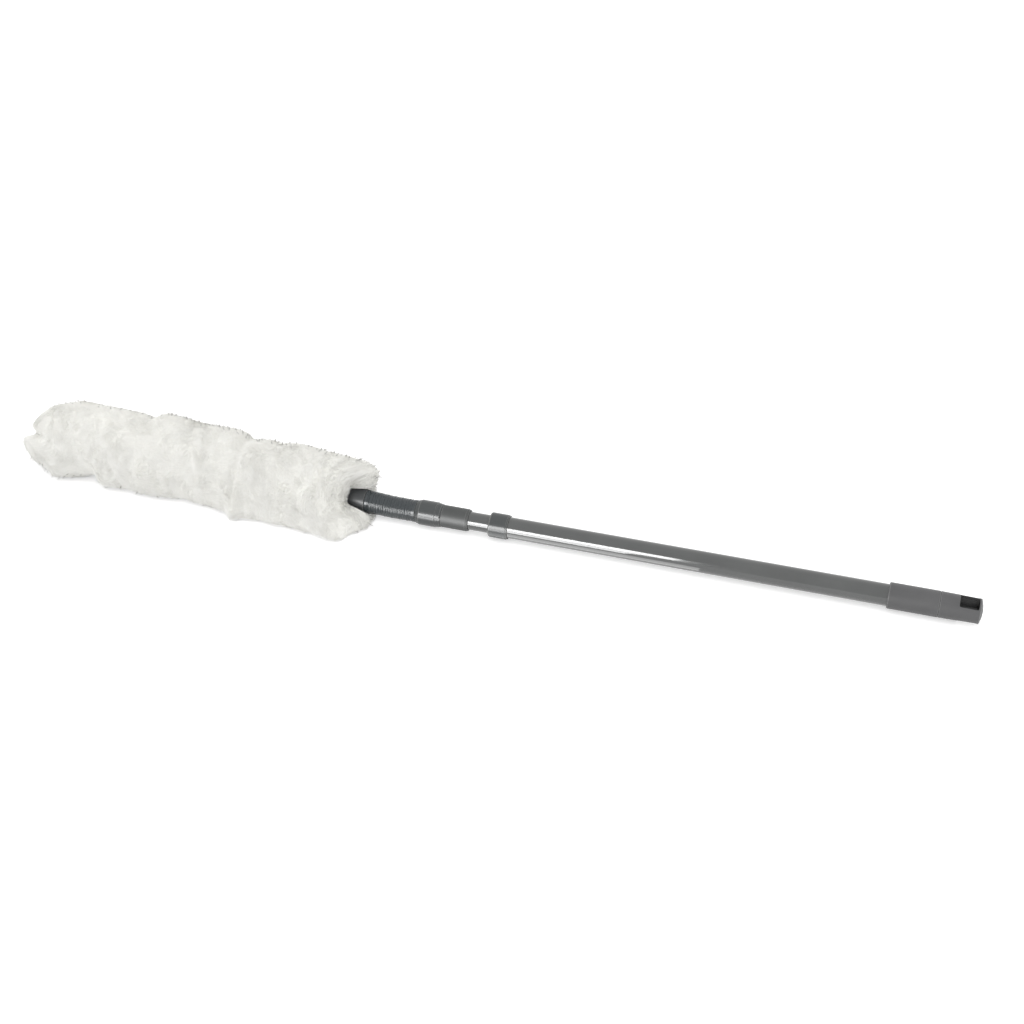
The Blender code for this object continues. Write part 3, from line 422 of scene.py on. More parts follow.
class Finishes:
    """Every material of the duster, made once."""

    def __init__(self) -> None:
        """Make the materials."""
        effects = Effects()
        hard = (
            HardFinish("glossy_grey_paint", (0.062, 0.065, 0.064), (0.18, 0.18, 0.18),
                       (0.10, 0.16), 900.0, 0.02, coat=1.0, streaked=True),
            HardFinish("satin_grey_plastic", (0.054, 0.059, 0.060), (0.20, 0.20, 0.19),
                       (0.20, 0.28), 1400.0, 0.06),
            # The ferrule's colour is darker than the grey plastic: partly its own darker plastic, partly
            # painted shade from the pile's mouth.
            HardFinish("dark_ferrule_plastic_and_shade", (0.040, 0.043, 0.045), (0.12, 0.12, 0.12),
                       (0.30, 0.42), 1400.0, 0.06),
            HardFinish("matt_adapter_plastic", (0.058, 0.061, 0.060), (0.26, 0.26, 0.26),
                       (0.46, 0.56), 1400.0, 0.08),
            HardFinish("matt_grip_plastic", (0.094, 0.094, 0.096), (0.26, 0.26, 0.26),
                       (0.40, 0.50), 1700.0, 0.10),
            HardFinish("ivory_lock_plastic", (0.62, 0.61, 0.57), (0.70, 0.69, 0.66),
                       (0.36, 0.46), 1200.0, 0.06),
            HardFinish("grey_boot_rubber", (0.038, 0.045, 0.049), (0.18, 0.19, 0.19),
                       (0.18, 0.26), 1500.0, 0.06),
            HardFinish("frosted_paddle_plastic", (0.55, 0.56, 0.56), (0.66, 0.66, 0.66),
                       (0.34, 0.44), 800.0, 0.06),
            HardFinish("bright_steel", (0.62, 0.61, 0.59), (0.75, 0.75, 0.75),
                       (0.22, 0.34), 1200.0, 0.08, streaked=True, metallic=1.0),
        )
        made = [finish.material(effects) for finish in hard]
        self.paint, self.plastic, self.ferrule, self.adapter, self.grip = made[:5]
        self.lock, self.rubber, self.paddle, self.steel = made[5:]
        # The yarn's darker root and the dark grey of its stray ends are painted shade.
        self.yarn = YarnFinish("white_microfibre", (0.84, 0.837, 0.80), (0.97, 0.967, 0.945),
                               (0.95, 0.943, 0.905), (0.45, 0.445, 0.43)).material(effects)
        self.knit = KnitFinish("white_knit", (0.80, 0.80, 0.78), (0.45, 0.45, 0.44),
                               70.0, 160.0).material(effects)
        self.elastic = KnitFinish("grey_elastic", (0.16, 0.16, 0.17), (0.06, 0.06, 0.06),
                                  90.0, 12.0).material(effects)


def deselect_all() -> None:
    """Deselect every object."""
    bpy.ops.object.select_all(action="DESELECT")


def select_only(piece: bpy.types.Object) -> None:
    """Select one object alone and make it the active one.

    Args:
        piece: The object.
    """
    deselect_all()
    piece.select_set(True)
    bpy.context.view_layer.objects.active = piece


def ramp(value: Array, zero: float, one: float) -> Array:
    """Return a value's share of the way between two values, held between 0 and 1.

    Args:
        value: The value.
        zero: Where the share is 0.
        one: Where the share is 1.
    """
    return np.clip((value - zero) / (one - zero), 0.0, 1.0)


def eased(value: Array, zero: float, one: float) -> Array:
    """Return a ramp's share, but one that leaves 0 and reaches 1 gently.

    Args:
        value: The value.
        zero: Where the share is 0.
        one: Where the share is 1.
    """
    share = ramp(value, zero, one)
    return share * share * (3 - 2 * share)


def hump(away: Array, width: float) -> Array:
    """Return 1 at no distance, falling smoothly towards 0.

    Args:
        away: The distance.
        width: The distance at which it has fallen to about a third.
    """
    return np.exp(-((away / width) ** 2))


def facing(angle: Array, direction: float) -> Array:
    """Return 1 in one direction round the head's axis, falling to 0 square to it.

    Args:
        angle: Angles round the axis, in radians.
        direction: The direction in degrees.
    """
    return np.clip(np.cos(angle - radians(direction)), 0.0, 1.0)


def rounded_corner(before: Vector, corner: Vector, after: Vector, radius: float, steps: int
                   ) -> list[Ring]:
    """Return the rings that round one corner of a profile.

    Args:
        before: The corner before it.
        corner: The corner to round.
        after: The corner after it.
        radius: The rounding's radius.
        steps: How many pieces the rounding has.

    Returns:
        Rings from before to after, with a plain ring on each side that keeps the flats flat.
    """
    to_before = (before - corner).normalized()
    to_after = (after - corner).normalized()
    half = to_before.angle(to_after) / 2
    room = 0.45 * min((before - corner).length, (after - corner).length)
    reach = min(radius / tan(half), room)
    radius = reach * tan(half)
    centre = corner + (to_before + to_after).normalized() * radius / sin(half)
    first = corner + to_before * reach - centre
    last = corner + to_after * reach - centre
    start = atan2(first.y, first.x)
    turn = (atan2(last.y, last.x) - start + pi) % (2 * pi) - pi
    rings = []
    for step in range(steps + 1):
        angle = start + turn * step / steps
        rings.append((centre.x + radius * cos(angle), centre.y + radius * sin(angle), 1.0))
    hold = 1.5 * reach
    if hold < 0.5 * (before - corner).length:
        rings.insert(0, (*(corner + to_before * hold), 0.0))
    if hold < 0.5 * (after - corner).length:
        rings.append((*(corner + to_after * hold), 0.0))
    return rings


@dataclass
class TurnedPiece:
    """A round piece, drawn out ring by ring from a circle.

    Attributes:
        name: The piece's name.
        corners: Along, radius and, where the corner is rounded, the rounding's radius.
        closes: Whether the profile ends where it starts; otherwise both ends are filled.
        sides: How many sides a ring has.
        steps: How many pieces a rounding has.
    """

    name: str
    corners: Sequence[Corner]
    closes: bool = True
    sides: int = 96
    steps: int = 5

    def rings(self) -> list[Ring]:
        """Return each ring's place along, its radius, and 1 where it lies on a rounded edge."""
        flat = [Vector(corner[:2]) for corner in self.corners]
        rings = []
        for index, corner in enumerate(self.corners):
            if len(corner) < 3:
                rings.append((corner[0], corner[1], 0.0))
                continue
            after = flat[(index + 1) % len(flat)]
            rings += rounded_corner(flat[index - 1], flat[index], after, corner[2], self.steps)
        return rings

    def model(self, place: Matrix | None = None) -> bpy.types.Object:
        """Model the piece.

        Args:
            place: Carries the piece from along X at the origin to its place; on the pole if None.

        Returns:
            The finished object, with its place in its mesh.
        """
        rings = self.rings()
        along, radius, _ = rings[0]
        deselect_all()
        bpy.ops.mesh.primitive_circle_add(vertices=self.sides, radius=radius, location=(along, 0.0, 0.0),
                                          rotation=(0.0, pi / 2, 0.0))
        piece = bpy.context.active_object
        piece.name = piece.data.name = self.name
        bpy.ops.object.transform_apply(location=True, rotation=True, scale=True)
        self._draw_out(rings)
        self._mark_edges(piece, rings)
        piece.data.transform(place or Matrix.Translation((COLLAR_FRONT, 0.0, AXIS_HEIGHT)))
        return finished(piece)

    def _draw_out(self, rings: list[Ring]) -> None:
        """Extrude the first ring of the active object through all the others.

        Args:
            rings: The rings that it goes through.
        """
        bpy.ops.object.mode_set(mode="EDIT")
        bpy.ops.mesh.select_all(action="SELECT")
        last_along, last_radius, _ = rings[0]
        for along, radius, _ in rings[1:] + (rings[:1] if self.closes else []):
            bpy.ops.mesh.extrude_region_move(
                TRANSFORM_OT_translate={"value": (along - last_along, 0.0, 0.0)})
            scale = radius / last_radius
            bpy.ops.transform.resize(value=(1.0, scale, scale), center_override=(along, 0.0, 0.0))
            last_along, last_radius = along, radius
        bpy.ops.mesh.select_all(action="SELECT")
        if not self.closes:
            bpy.ops.mesh.fill_holes(sides=0)
        bpy.ops.object.mode_set(mode="OBJECT")

    @staticmethod
    def _mark_edges(piece: bpy.types.Object, rings: list[Ring]) -> None:
        """Store on each vertex whether it lies on a rounded edge.

        Args:
            piece: The piece, still along X at the origin.
            rings: Its rings.
        """
        places = vertex_places(piece)
        radii = np.hypot(places[:, 1], places[:, 2])
        table = np.array(rings)
        away = np.hypot(places[:, 0, None] - table[None, :, 0], radii[:, None] - table[None, :, 1])
        store(piece, "edge", table[np.argmin(away, axis=1), 2])


def vertex_places(piece: bpy.types.Object) -> Array:
    """Return a mesh object's vertex places as an array of rows.

    Args:
        piece: The mesh object.
    """
    flat = np.empty(len(piece.data.vertices) * 3, dtype=np.float64)
    piece.data.vertices.foreach_get("co", flat)
    return flat.reshape(-1, 3)


def store(piece: bpy.types.Object, name: str, values: Array) -> None:
    """Store one number for each vertex as an attribute.

    Args:
        piece: The mesh object.
        name: The attribute's name.
        values: The numbers, in the vertices' order.
    """
    attribute = piece.data.attributes.new(name, "FLOAT", "POINT")
    attribute.data.foreach_set("value", np.asarray(values, dtype=np.float32))


def finished(piece: bpy.types.Object, angle: float = 38.0) -> bpy.types.Object:
    """Merge a piece's doubles, point its faces outwards and shade it smooth by angle.

    Args:
        piece: The mesh object.
        angle: The angle in degrees above which an edge stays sharp.

    Returns:
        The same object.
    """
    select_only(piece)
    bpy.ops.object.mode_set(mode="EDIT")
    bpy.ops.mesh.select_all(action="SELECT")
    bpy.ops.mesh.remove_doubles(threshold=0.0000005)
    bpy.ops.mesh.normals_make_consistent(inside=False)
    bpy.ops.object.mode_set(mode="OBJECT")
    bpy.ops.object.shade_smooth_by_angle(angle=radians(angle))
    return piece


def dress(piece: bpy.types.Object, material: bpy.types.Material, body: Body, slot: Slot,
          *nodes: str) -> bpy.types.Object:
    """Give a finished piece its material and its body, and hide the CAD nodes that it replaces.

    Args:
        piece: The finished piece.
        material: Its material.
        body: The body it rides on.
        slot: The record's slot that its finish comes from; not used.
        *nodes: The CAD nodes that it replaces.

    Returns:
        The same object.
    """
    piece.data.materials.clear()
    piece.data.materials.append(material)
    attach(piece, body.value)
    if nodes:
        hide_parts(*nodes)
    LOG.info("%s: %d faces on %s", piece.name, len(piece.data.polygons), body.value)
    return piece


def paint_node(name: str, material: bpy.types.Material) -> None:
    """Give a CAD node that stays a better material.

    Args:
        name: The node's name.
        material: The material.
    """
    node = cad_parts[name]
    if not node.material_slots:
        node.data.materials.append(material)
    for slot in node.material_slots:
        slot.material = material
    LOG.info("%s keeps its CAD shape", name)


def ring_mesh(name: str, rings: Array, close_first: bool, close_last: bool) -> bpy.types.Object:
    """Return an object skinned over rings of points, with a UV map round and along them.

    Args:
        name: The object's name.
        rings: Places as [ring, point, xyz].
        close_first: Whether a fan closes the first ring.
        close_last: Whether a fan closes the last ring.
    """
    count, around, _ = rings.shape
    places = rings.reshape(-1, 3)
    here = np.arange(count - 1)[:, None] * around + np.arange(around)[None, :]
    right = np.arange(count - 1)[:, None] * around + (np.arange(around)[None, :] + 1) % around
    quads = np.stack([here, right, right + around, here + around], axis=-1).reshape(-1, 4)
    faces = [tuple(int(index) for index in quad) for quad in quads]
    extra = []
    for wanted, ring in ((close_first, 0), (close_last, count - 1)):
        if wanted:
            centre = count * around + len(extra)
            extra.append(rings[ring].mean(axis=0))
            start = ring * around
            fan = [(start + index, start + (index + 1) % around, centre) for index in range(around)]
            faces += fan if ring else [face[::-1] for face in fan]
    if extra:
        places = np.vstack([places, np.array(extra)])
    mesh = bpy.data.meshes.new(name)
    mesh.from_pydata([tuple(place) for place in places], [], faces)
    uv = mesh.uv_layers.new(name="UVMap")
    indices = np.empty(len(mesh.loops), dtype=np.int64)
    mesh.loops.foreach_get("vertex_index", indices)
    ring_of = np.minimum(indices // around, count - 1)
    map_places = np.stack([(indices % around) / around, ring_of / (count - 1)], axis=-1)
    uv.data.foreach_set("uv", map_places.astype(np.float32).ravel())
    piece = bpy.data.objects.new(name, mesh)
    bpy.context.scene.collection.objects.link(piece)
    return piece


def painted_tube(name: str, front: float, back: float, radius: float, wall: float
                 ) -> bpy.types.Object:
    """Model a thin tube along the pole, with its ends' edges softened.

    Args:
        name: The piece's name.
        front: Where it starts along the pole.
        back: Where it ends.
        radius: Its outer radius.
        wall: Its wall.
    """
    bore = radius - wall
    lip = wall / 3
    corners = ((back, radius, lip), (front, radius, lip), (front, bore, lip), (back, bore, lip))
    return TurnedPiece(name, corners, steps=2).model()


@dataclass
class OuterPole:
    """The outer tube with its collar, its grip sleeve and its hanging cap.

    Attributes:
        tube_radius: The outer tube's radius.
        tube_wall: Its wall.
        tube_front: Where it starts along the pole.
        tube_back: Where it ends.
        collar_radius: The collar's radius.
        collar_length: The collar's length.
        collar_lip: The depth of its guide lip.
        collar_bore: The radius of the hole that guides the inner tube.
        grip_radius: The grip sleeve's radius.
        grip_front: Where the grip sleeve starts.
        cap_front: The cap's seam with the grip sleeve.
        cap_back: The top of the cap's dome.
        cap_seam_radius: The cap's radius at its seam.
        cap_end_radius: The cap's radius at its rim.
        cap_dome: How far the dome stands out of the rim.
        cap_wall: The cap's wall.
        stub_length: The length of the cap's plug in the tube.
        stub_wall: The plug's wall.
        window_length: The hanging window's length along the pole.
        window_width: Its width.
        window_corner: The rounding of its corners.
        window_end: From the window to the top of the dome.
    """

    tube_radius: float = 0.0110
    tube_wall: float = 0.0007
    tube_front: float = 0.0043
    tube_back: float = 0.4473
    collar_radius: float = 0.0128
    collar_length: float = 0.0201
    collar_lip: float = 0.0040
    collar_bore: float = 0.0098
    grip_radius: float = 0.0129
    grip_front: float = 0.3992
    cap_front: float = 0.4476
    cap_back: float = 0.4880
    cap_seam_radius: float = 0.0128
    cap_end_radius: float = 0.0123
    cap_dome: float = 0.0023
    cap_wall: float = 0.0020
    stub_length: float = 0.0250
    stub_wall: float = 0.0018
    window_length: float = 0.0182
    window_width: float = 0.0188
    window_corner: float = 0.0015
    window_end: float = 0.0042

    def build(self, finishes: Finishes) -> None:
        """Model and dress the outer pole.

        Args:
            finishes: The duster's materials.
        """
        tube = painted_tube("painted_outer_tube", self.tube_front, self.tube_back,
                            self.tube_radius, self.tube_wall)
        dress(tube, finishes.paint, Body.POLE, Slot.TUBE_PAINT, "outer_tube")
        dress(self._collar(), finishes.plastic, Body.POLE, Slot.GREY_PLASTIC, "tube_collar")
        dress(self._grip(), finishes.grip, Body.POLE, Slot.GRIP_PLASTIC, "grip_sleeve")
        dress(self._cap(), finishes.grip, Body.POLE, Slot.GRIP_PLASTIC, "hanging_cap")

    def _collar(self) -> bpy.types.Object:
        """Model the moulded collar, with the thin step at its back edge."""
        skirt = self.tube_radius + GAP
        step = self.collar_length - 0.0016
        return TurnedPiece("moulded_tube_collar", (
            (self.collar_length, self.collar_radius - 0.0006, 0.0004),
            (step, self.collar_radius - 0.0004, 0.0001),
            (step - 0.0002, self.collar_radius, 0.0002),
            (0.0, self.collar_radius, 0.0026),
            (0.0, self.collar_bore, 0.0004),
            (self.collar_lip, self.collar_bore),
            (self.collar_lip, skirt),
            (self.collar_length, skirt, 0.0002),
        )).model()

    def _grip(self) -> bpy.types.Object:
        """Model the grip sleeve, with its chamfered front edge."""
        bore = self.tube_radius + GAP
        return TurnedPiece("moulded_grip_sleeve", (
            (self.tube_back, self.grip_radius, 0.0004),
            (self.grip_front + 0.0009, self.grip_radius, 0.0005),
            (self.grip_front, self.grip_radius - 0.0007, 0.0003),
            (self.grip_front, bore, 0.0002),
            (self.tube_back, bore, 0.0002),
        )).model()

    def _cap(self) -> bpy.types.Object:
        """Model the hanging cap with its window, its walls and its plug in the tube."""
        rim = self.cap_back - self.cap_dome
        stub = self.tube_radius - self.tube_wall - GAP
        stub_bore = stub - self.stub_wall
        stub_front = self.tube_back - self.stub_length
        inner_front = self.cap_front + self.cap_wall
        cap = TurnedPiece("moulded_hanging_cap", (
            (self.cap_back, 0.0006),
            (self.cap_back - 0.25 * self.cap_dome, 0.5 * self.cap_end_radius, 0.004),
            (rim, self.cap_end_radius, 0.0008),
            (self.cap_front, self.cap_seam_radius, 0.0004),
            (self.cap_front, stub),
            (stub_front, stub, 0.0004),
            (stub_front, stub_bore, 0.0004),
            (inner_front, stub_bore),
            (inner_front, self.cap_seam_radius - self.cap_wall, 0.0006),
            (rim - self.cap_wall, self.cap_end_radius - self.cap_wall, 0.0008),
            (self.cap_back - self.cap_wall, 0.0006),
        ), closes=False).model()
        self._cut_window(cap)
        return cap

    def _cut_window(self, cap: bpy.types.Object) -> None:
        """Cut the hanging window through the cap, soften its edges and mark its inside for painted shade.

        Args:
            cap: The turned cap.
        """
        back = COLLAR_FRONT + self.cap_back - self.window_end
        block_height = 0.05
        deselect_all()
        bpy.ops.mesh.primitive_cube_add(size=1.0, location=(back - self.window_length / 2, 0.0, AXIS_HEIGHT))
        block = bpy.context.active_object
        block.scale = (self.window_length, self.window_width, block_height)
        bpy.ops.object.transform_apply(location=True, rotation=True, scale=True)
        bpy.ops.object.mode_set(mode="EDIT")
        bpy.ops.mesh.select_all(action="DESELECT")
        bpy.ops.object.mode_set(mode="OBJECT")
        for edge in block.data.edges:
            low, high = (block.data.vertices[index].co for index in edge.vertices)
            edge.select = abs(high.z - low.z) > block_height / 2
        bpy.ops.object.mode_set(mode="EDIT")
        bpy.ops.mesh.select_mode(type="EDGE")
        bpy.ops.mesh.bevel(offset=self.window_corner, segments=5)
        bpy.ops.mesh.select_mode(type="VERT")
        bpy.ops.object.mode_set(mode="OBJECT")
        apply_modifier(cap, "BOOLEAN", object=block, operation="DIFFERENCE", solver="EXACT")
        bpy.data.objects.remove(block, do_unlink=True)
        apply_modifier(cap, "BEVEL", width=0.00035, segments=2, limit_method="ANGLE",
                       angle_limit=radians(50), use_clamp_overlap=True)
        finished(cap)
        # Painted shade: vertices inside the cap's wall are marked hollow, so their colour is painted nearly
        # black for the shade seen through the window.
        places = vertex_places(cap)
        away = np.hypot(places[:, 1], places[:, 2] - AXIS_HEIGHT)
        inside = away < self.cap_end_radius - 0.8 * self.cap_wall
        store(cap, "hollow", inside.astype(float))


def apply_modifier(piece: bpy.types.Object, kind: str, **settings: object) -> None:
    """Add a modifier to a piece, set it up and apply it.

    Args:
        piece: The piece.
        kind: The modifier's type.
        **settings: The modifier's properties.
    """
    select_only(piece)
    modifier = piece.modifiers.new(kind.title(), kind)
    for name, value in settings.items():
        setattr(modifier, name, value)
    bpy.ops.object.modifier_apply(modifier=modifier.name)


@dataclass
class InnerPole:
    """The inner tube with the adapter for the head; its twist lock keeps its CAD shape.

    Attributes:
        tube_radius: The inner tube's radius.
        tube_wall: Its wall.
        tube_front: Where it starts along the pole.
        tube_back: Where it ends.
        adapter_radius: The adapter's radius.
        adapter_front: The step against the head's socket.
        adapter_back: The end of the adapter on the tube.
        spigot_radius: The radius of the spigot in the socket.
        spigot_length: The spigot's length.
        spigot_wall: The spigot's wall.
        seat_depth: How far the tube goes into the adapter.
    """

    tube_radius: float = 0.0095
    tube_wall: float = 0.0006
    tube_front: float = -0.0416
    tube_back: float = 0.3934
    adapter_radius: float = 0.0115
    adapter_front: float = -0.0506
    adapter_back: float = -0.0219
    spigot_radius: float = 0.0105
    spigot_length: float = 0.0120
    spigot_wall: float = 0.0022
    seat_depth: float = 0.0200

    def build(self, finishes: Finishes) -> None:
        """Model and dress the inner pole.

        Args:
            finishes: The duster's materials.
        """
        tube = painted_tube("painted_inner_tube", self.tube_front, self.tube_back,
                            self.tube_radius, self.tube_wall)
        dress(tube, finishes.paint, Body.INNER_POLE, Slot.TUBE_PAINT, "inner_tube")
        dress(self._adapter(), finishes.adapter, Body.INNER_POLE, Slot.GREY_PLASTIC, "tip_adapter")
        paint_node("lock_core", finishes.lock)
        paint_node("lock_ring", finishes.lock)
        paint_node("lock_washer", finishes.steel)
        paint_node("lock_screw", finishes.steel)

    def _adapter(self) -> bpy.types.Object:
        """Model the adapter, with the bright chamfer at its back end."""
        seat = self.tube_radius + GAP
        spigot_front = self.adapter_front - self.spigot_length
        seat_front = self.adapter_back - self.seat_depth
        spigot_bore = self.spigot_radius - self.spigot_wall
        return TurnedPiece("moulded_tip_adapter", (
            (self.adapter_back, seat + 0.0007, 0.0003),
            (self.adapter_back - 0.0008, self.adapter_radius - 0.0005, 0.0003),
            (self.adapter_back - 0.0030, self.adapter_radius, 0.0008),
            (self.adapter_front, self.adapter_radius, 0.0006),
            (self.adapter_front, self.spigot_radius),
            (spigot_front + 0.0010, self.spigot_radius, 0.0004),
            (spigot_front, self.spigot_radius - 0.0010, 0.0003),
            (spigot_front, spigot_bore, 0.0003),
            (seat_front, spigot_bore),
            (seat_front, seat),
            (self.adapter_back, seat, 0.0002),
        )).model()


def neck_place(places: Array) -> Array:
    """Carry places of the straight neck, measured from the hinge, to the resting bend.

    Args:
        places: Rows of x, y and z.

    Returns:
        The rows in the CAD model's frame.
    """
    angle = HEAD_TILT * eased(places[:, 0], FREE_NECK, -FREE_NECK)
    turned_x = places[:, 0] * np.cos(angle) + places[:, 2] * np.sin(angle)
    turned_z = -places[:, 0] * np.sin(angle) + places[:, 2] * np.cos(angle)
    return np.stack([turned_x, places[:, 1], turned_z], axis=1) + np.array(HINGE)


@dataclass
class Neck:
    """The head's socket, the ribbed boot that bends, its wire and the ferrule.

    Attributes:
        socket_back: The end of the socket on the adapter.
        socket_front: The end of the socket against the boot.
        socket_radius: The socket's radius.
        stub_radius: The radius of the round stubs inside the boot.
        cavity: The radius of the hole that takes the adapter's spigot.
        rib_pitch: From one main rib to the next.
        rib_count: How many main ribs the boot has.
        first_rib: The first main rib, measured from the hinge.
        rib_depth: How deep the grooves are.
        rib_shape: A main rib and the lesser ones behind it: shift, half width and height.
        rim_width: The width of the boot's plain front rim.
        cuff_gap: From the last main rib to the boot's plain cuff.
        boot_front: The boot's front end, measured from the hinge.
        boot_back: The boot's back end.
        boot_front_radius: The boot's radius at its front end.
        boot_back_radius: The boot's radius at its back end.
        ferrule_length: The ferrule's length.
        wire_front: The wire's front end, measured from the hinge.
        wire_back: The wire's back end.
        wire_radius: The wire's radius.
    """

    socket_back: float = -0.0509
    socket_front: float = -0.0785
    socket_radius: float = 0.0131
    stub_radius: float = 0.0074
    cavity: float = 0.0108
    rib_pitch: float = 0.0080
    rib_count: int = 6
    first_rib: float = -0.0215
    rib_depth: float = 0.0006
    rib_shape: Sequence[tuple[float, float, float]] = (
        (0.0, 0.0014, 1.0), (0.0030, 0.0009, 0.75), (0.0054, 0.0009, 0.60),
    )
    rim_width: float = 0.0035
    cuff_gap: float = 0.0058
    boot_front: float = -0.0276
    boot_back: float = 0.0276
    boot_front_radius: float = 0.0120
    boot_back_radius: float = 0.0115
    ferrule_length: float = 0.0262
    wire_front: float = -0.0730
    wire_back: float = 0.0400
    wire_radius: float = 0.0020

    def build(self, finishes: Finishes) -> None:
        """Model and dress the neck.

        Args:
            finishes: The duster's materials.
        """
        dress(self._socket(), finishes.plastic, Body.SOCKET, Slot.GREY_PLASTIC, "head_socket")
        dress(self._ferrule(), finishes.ferrule, Body.HEAD, Slot.FERRULE_PLASTIC, "neck_ferrule")
        paint_node("rear_wire_crimp", finishes.steel)
        paint_node("front_wire_crimp", finishes.steel)
        for piece, material, slot, node in (
            (self._boot(), finishes.rubber, Slot.BOOT_RUBBER, "neck_boot"),
            (self._wire(), finishes.steel, Slot.STEEL, "neck_wire"),
        ):
            piece.data.materials.clear()
            piece.data.materials.append(material)
            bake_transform(piece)
            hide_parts(node)
            LOG.info("%s: %d faces, bends at the hinge", piece.name, len(piece.data.polygons))

    def _socket(self) -> bpy.types.Object:
        """Model the stepped socket, with a thin bright edge before its rounded back."""
        stub_front = HINGE_ALONG + FREE_NECK
        wall = self.socket_front + 0.0040
        wire_bore = self.wire_radius + GAP
        band = self.socket_back - 0.0062
        return TurnedPiece("moulded_head_socket", (
            (self.socket_back, self.cavity + 0.0006, 0.0003),
            (self.socket_back - 0.0012, self.socket_radius - 0.0010, 0.0008),
            (band + 0.0012, self.socket_radius - 0.0005, 0.0008),
            (band + 0.0002, self.socket_radius - 0.0005, 0.0001),
            (band, self.socket_radius, 0.0002),
            (self.socket_front + 0.0044, self.socket_radius, 0.0012),
            (self.socket_front + 0.0006, 0.0118, 0.0005),
            (self.socket_front, 0.0112, 0.0003),
            (self.socket_front, self.stub_radius),
            (stub_front, self.stub_radius, 0.0006),
            (stub_front, wire_bore),
            (wall, wire_bore),
            (wall, self.cavity),
            (self.socket_back, self.cavity, 0.0002),
        )).model()

    def _ferrule(self) -> bpy.types.Object:
        """Model the smooth dark ring between the boot and the sleeve."""
        back = self.boot_front - GAP
        front = back - self.ferrule_length
        bore = self.stub_radius + GAP
        return TurnedPiece("moulded_neck_ferrule", (
            (back, 0.0121, 0.0006),
            (front, 0.0118, 0.0010),
            (front, bore, 0.0003),
            (back, bore, 0.0003),
        )).model(HEAD_PLACE)

    def _boot_radius(self, along: float) -> float:
        """Return the boot's radius at a place along it, with its main and lesser ribs.

        Args:
            along: The place, measured from the hinge.
        """
        share = (along - self.boot_front) / (self.boot_back - self.boot_front)
        radius = self.boot_front_radius + share * (self.boot_back_radius - self.boot_front_radius)
        height = 0.0
        for index in range(self.rib_count):
            middle = self.first_rib + index * self.rib_pitch
            for shift, width, rise in self.rib_shape:
                away = abs(along - middle - shift) / width
                height = max(height, rise * cos(away * pi / 2) ** 0.7 if away < 1.0 else 0.0)
        last_rib = self.first_rib + (self.rib_count - 1) * self.rib_pitch
        if along < self.boot_front + self.rim_width or along > last_rib + self.cuff_gap:
            height = 1.0
        return radius - self.rib_depth * (1.0 - height)

    def _boot_corners(self) -> list[Corner]:
        """Return the boot's profile: its cuff, its ribs, its rim and its bore."""
        bore = self.stub_radius + GAP
        rise = 0.0006
        step = 0.00022
        stations = np.arange(self.boot_back - 2 * rise, self.boot_front + rise, -step).tolist()
        return [
            (self.boot_back, self.boot_back_radius - 0.0002, 0.0003),
            (self.boot_back - rise, self.boot_back_radius),
            *((along, self._boot_radius(along)) for along in stations),
            (self.boot_front, self.boot_front_radius - 0.0003, 0.0003),
            (self.boot_front, bore, 0.0002),
            *((along, bore) for along in (-FREE_NECK, -0.002, 0.002, FREE_NECK)),
            (self.boot_back, bore, 0.0002),
        ]

    def _boot(self) -> bpy.types.Object:
        """Model the ribbed boot and bend it to its rest."""
        boot = TurnedPiece("ribbed_neck_boot", self._boot_corners())
        return self._bent(boot.model(Matrix.Identity(4)))

    def _wire(self) -> bpy.types.Object:
        """Model the bendable wire inside the boot."""
        chamfer = 0.0004
        end_radius = self.wire_radius - 0.0006
        bends = (FREE_NECK, 0.004, 0.002, 0.0, -0.002, -0.004, -FREE_NECK)
        stations = (self.wire_back - chamfer, *bends, self.wire_front + chamfer)
        corners = [
            (self.wire_back, end_radius),
            *((along, self.wire_radius) for along in stations),
            (self.wire_front, end_radius),
        ]
        wire = TurnedPiece("bendable_neck_wire", corners, closes=False, sides=24)
        return self._bent(wire.model(Matrix.Identity(4)))

    @staticmethod
    def _bent(piece: bpy.types.Object) -> bpy.types.Object:
        """Bend a straight piece of the neck to its rest and return it.

        Args:
            piece: The piece, along X with the hinge at the origin.
        """
        piece.data.vertices.foreach_set("co", neck_place(vertex_places(piece)).ravel())
        piece.data.update()
        return piece


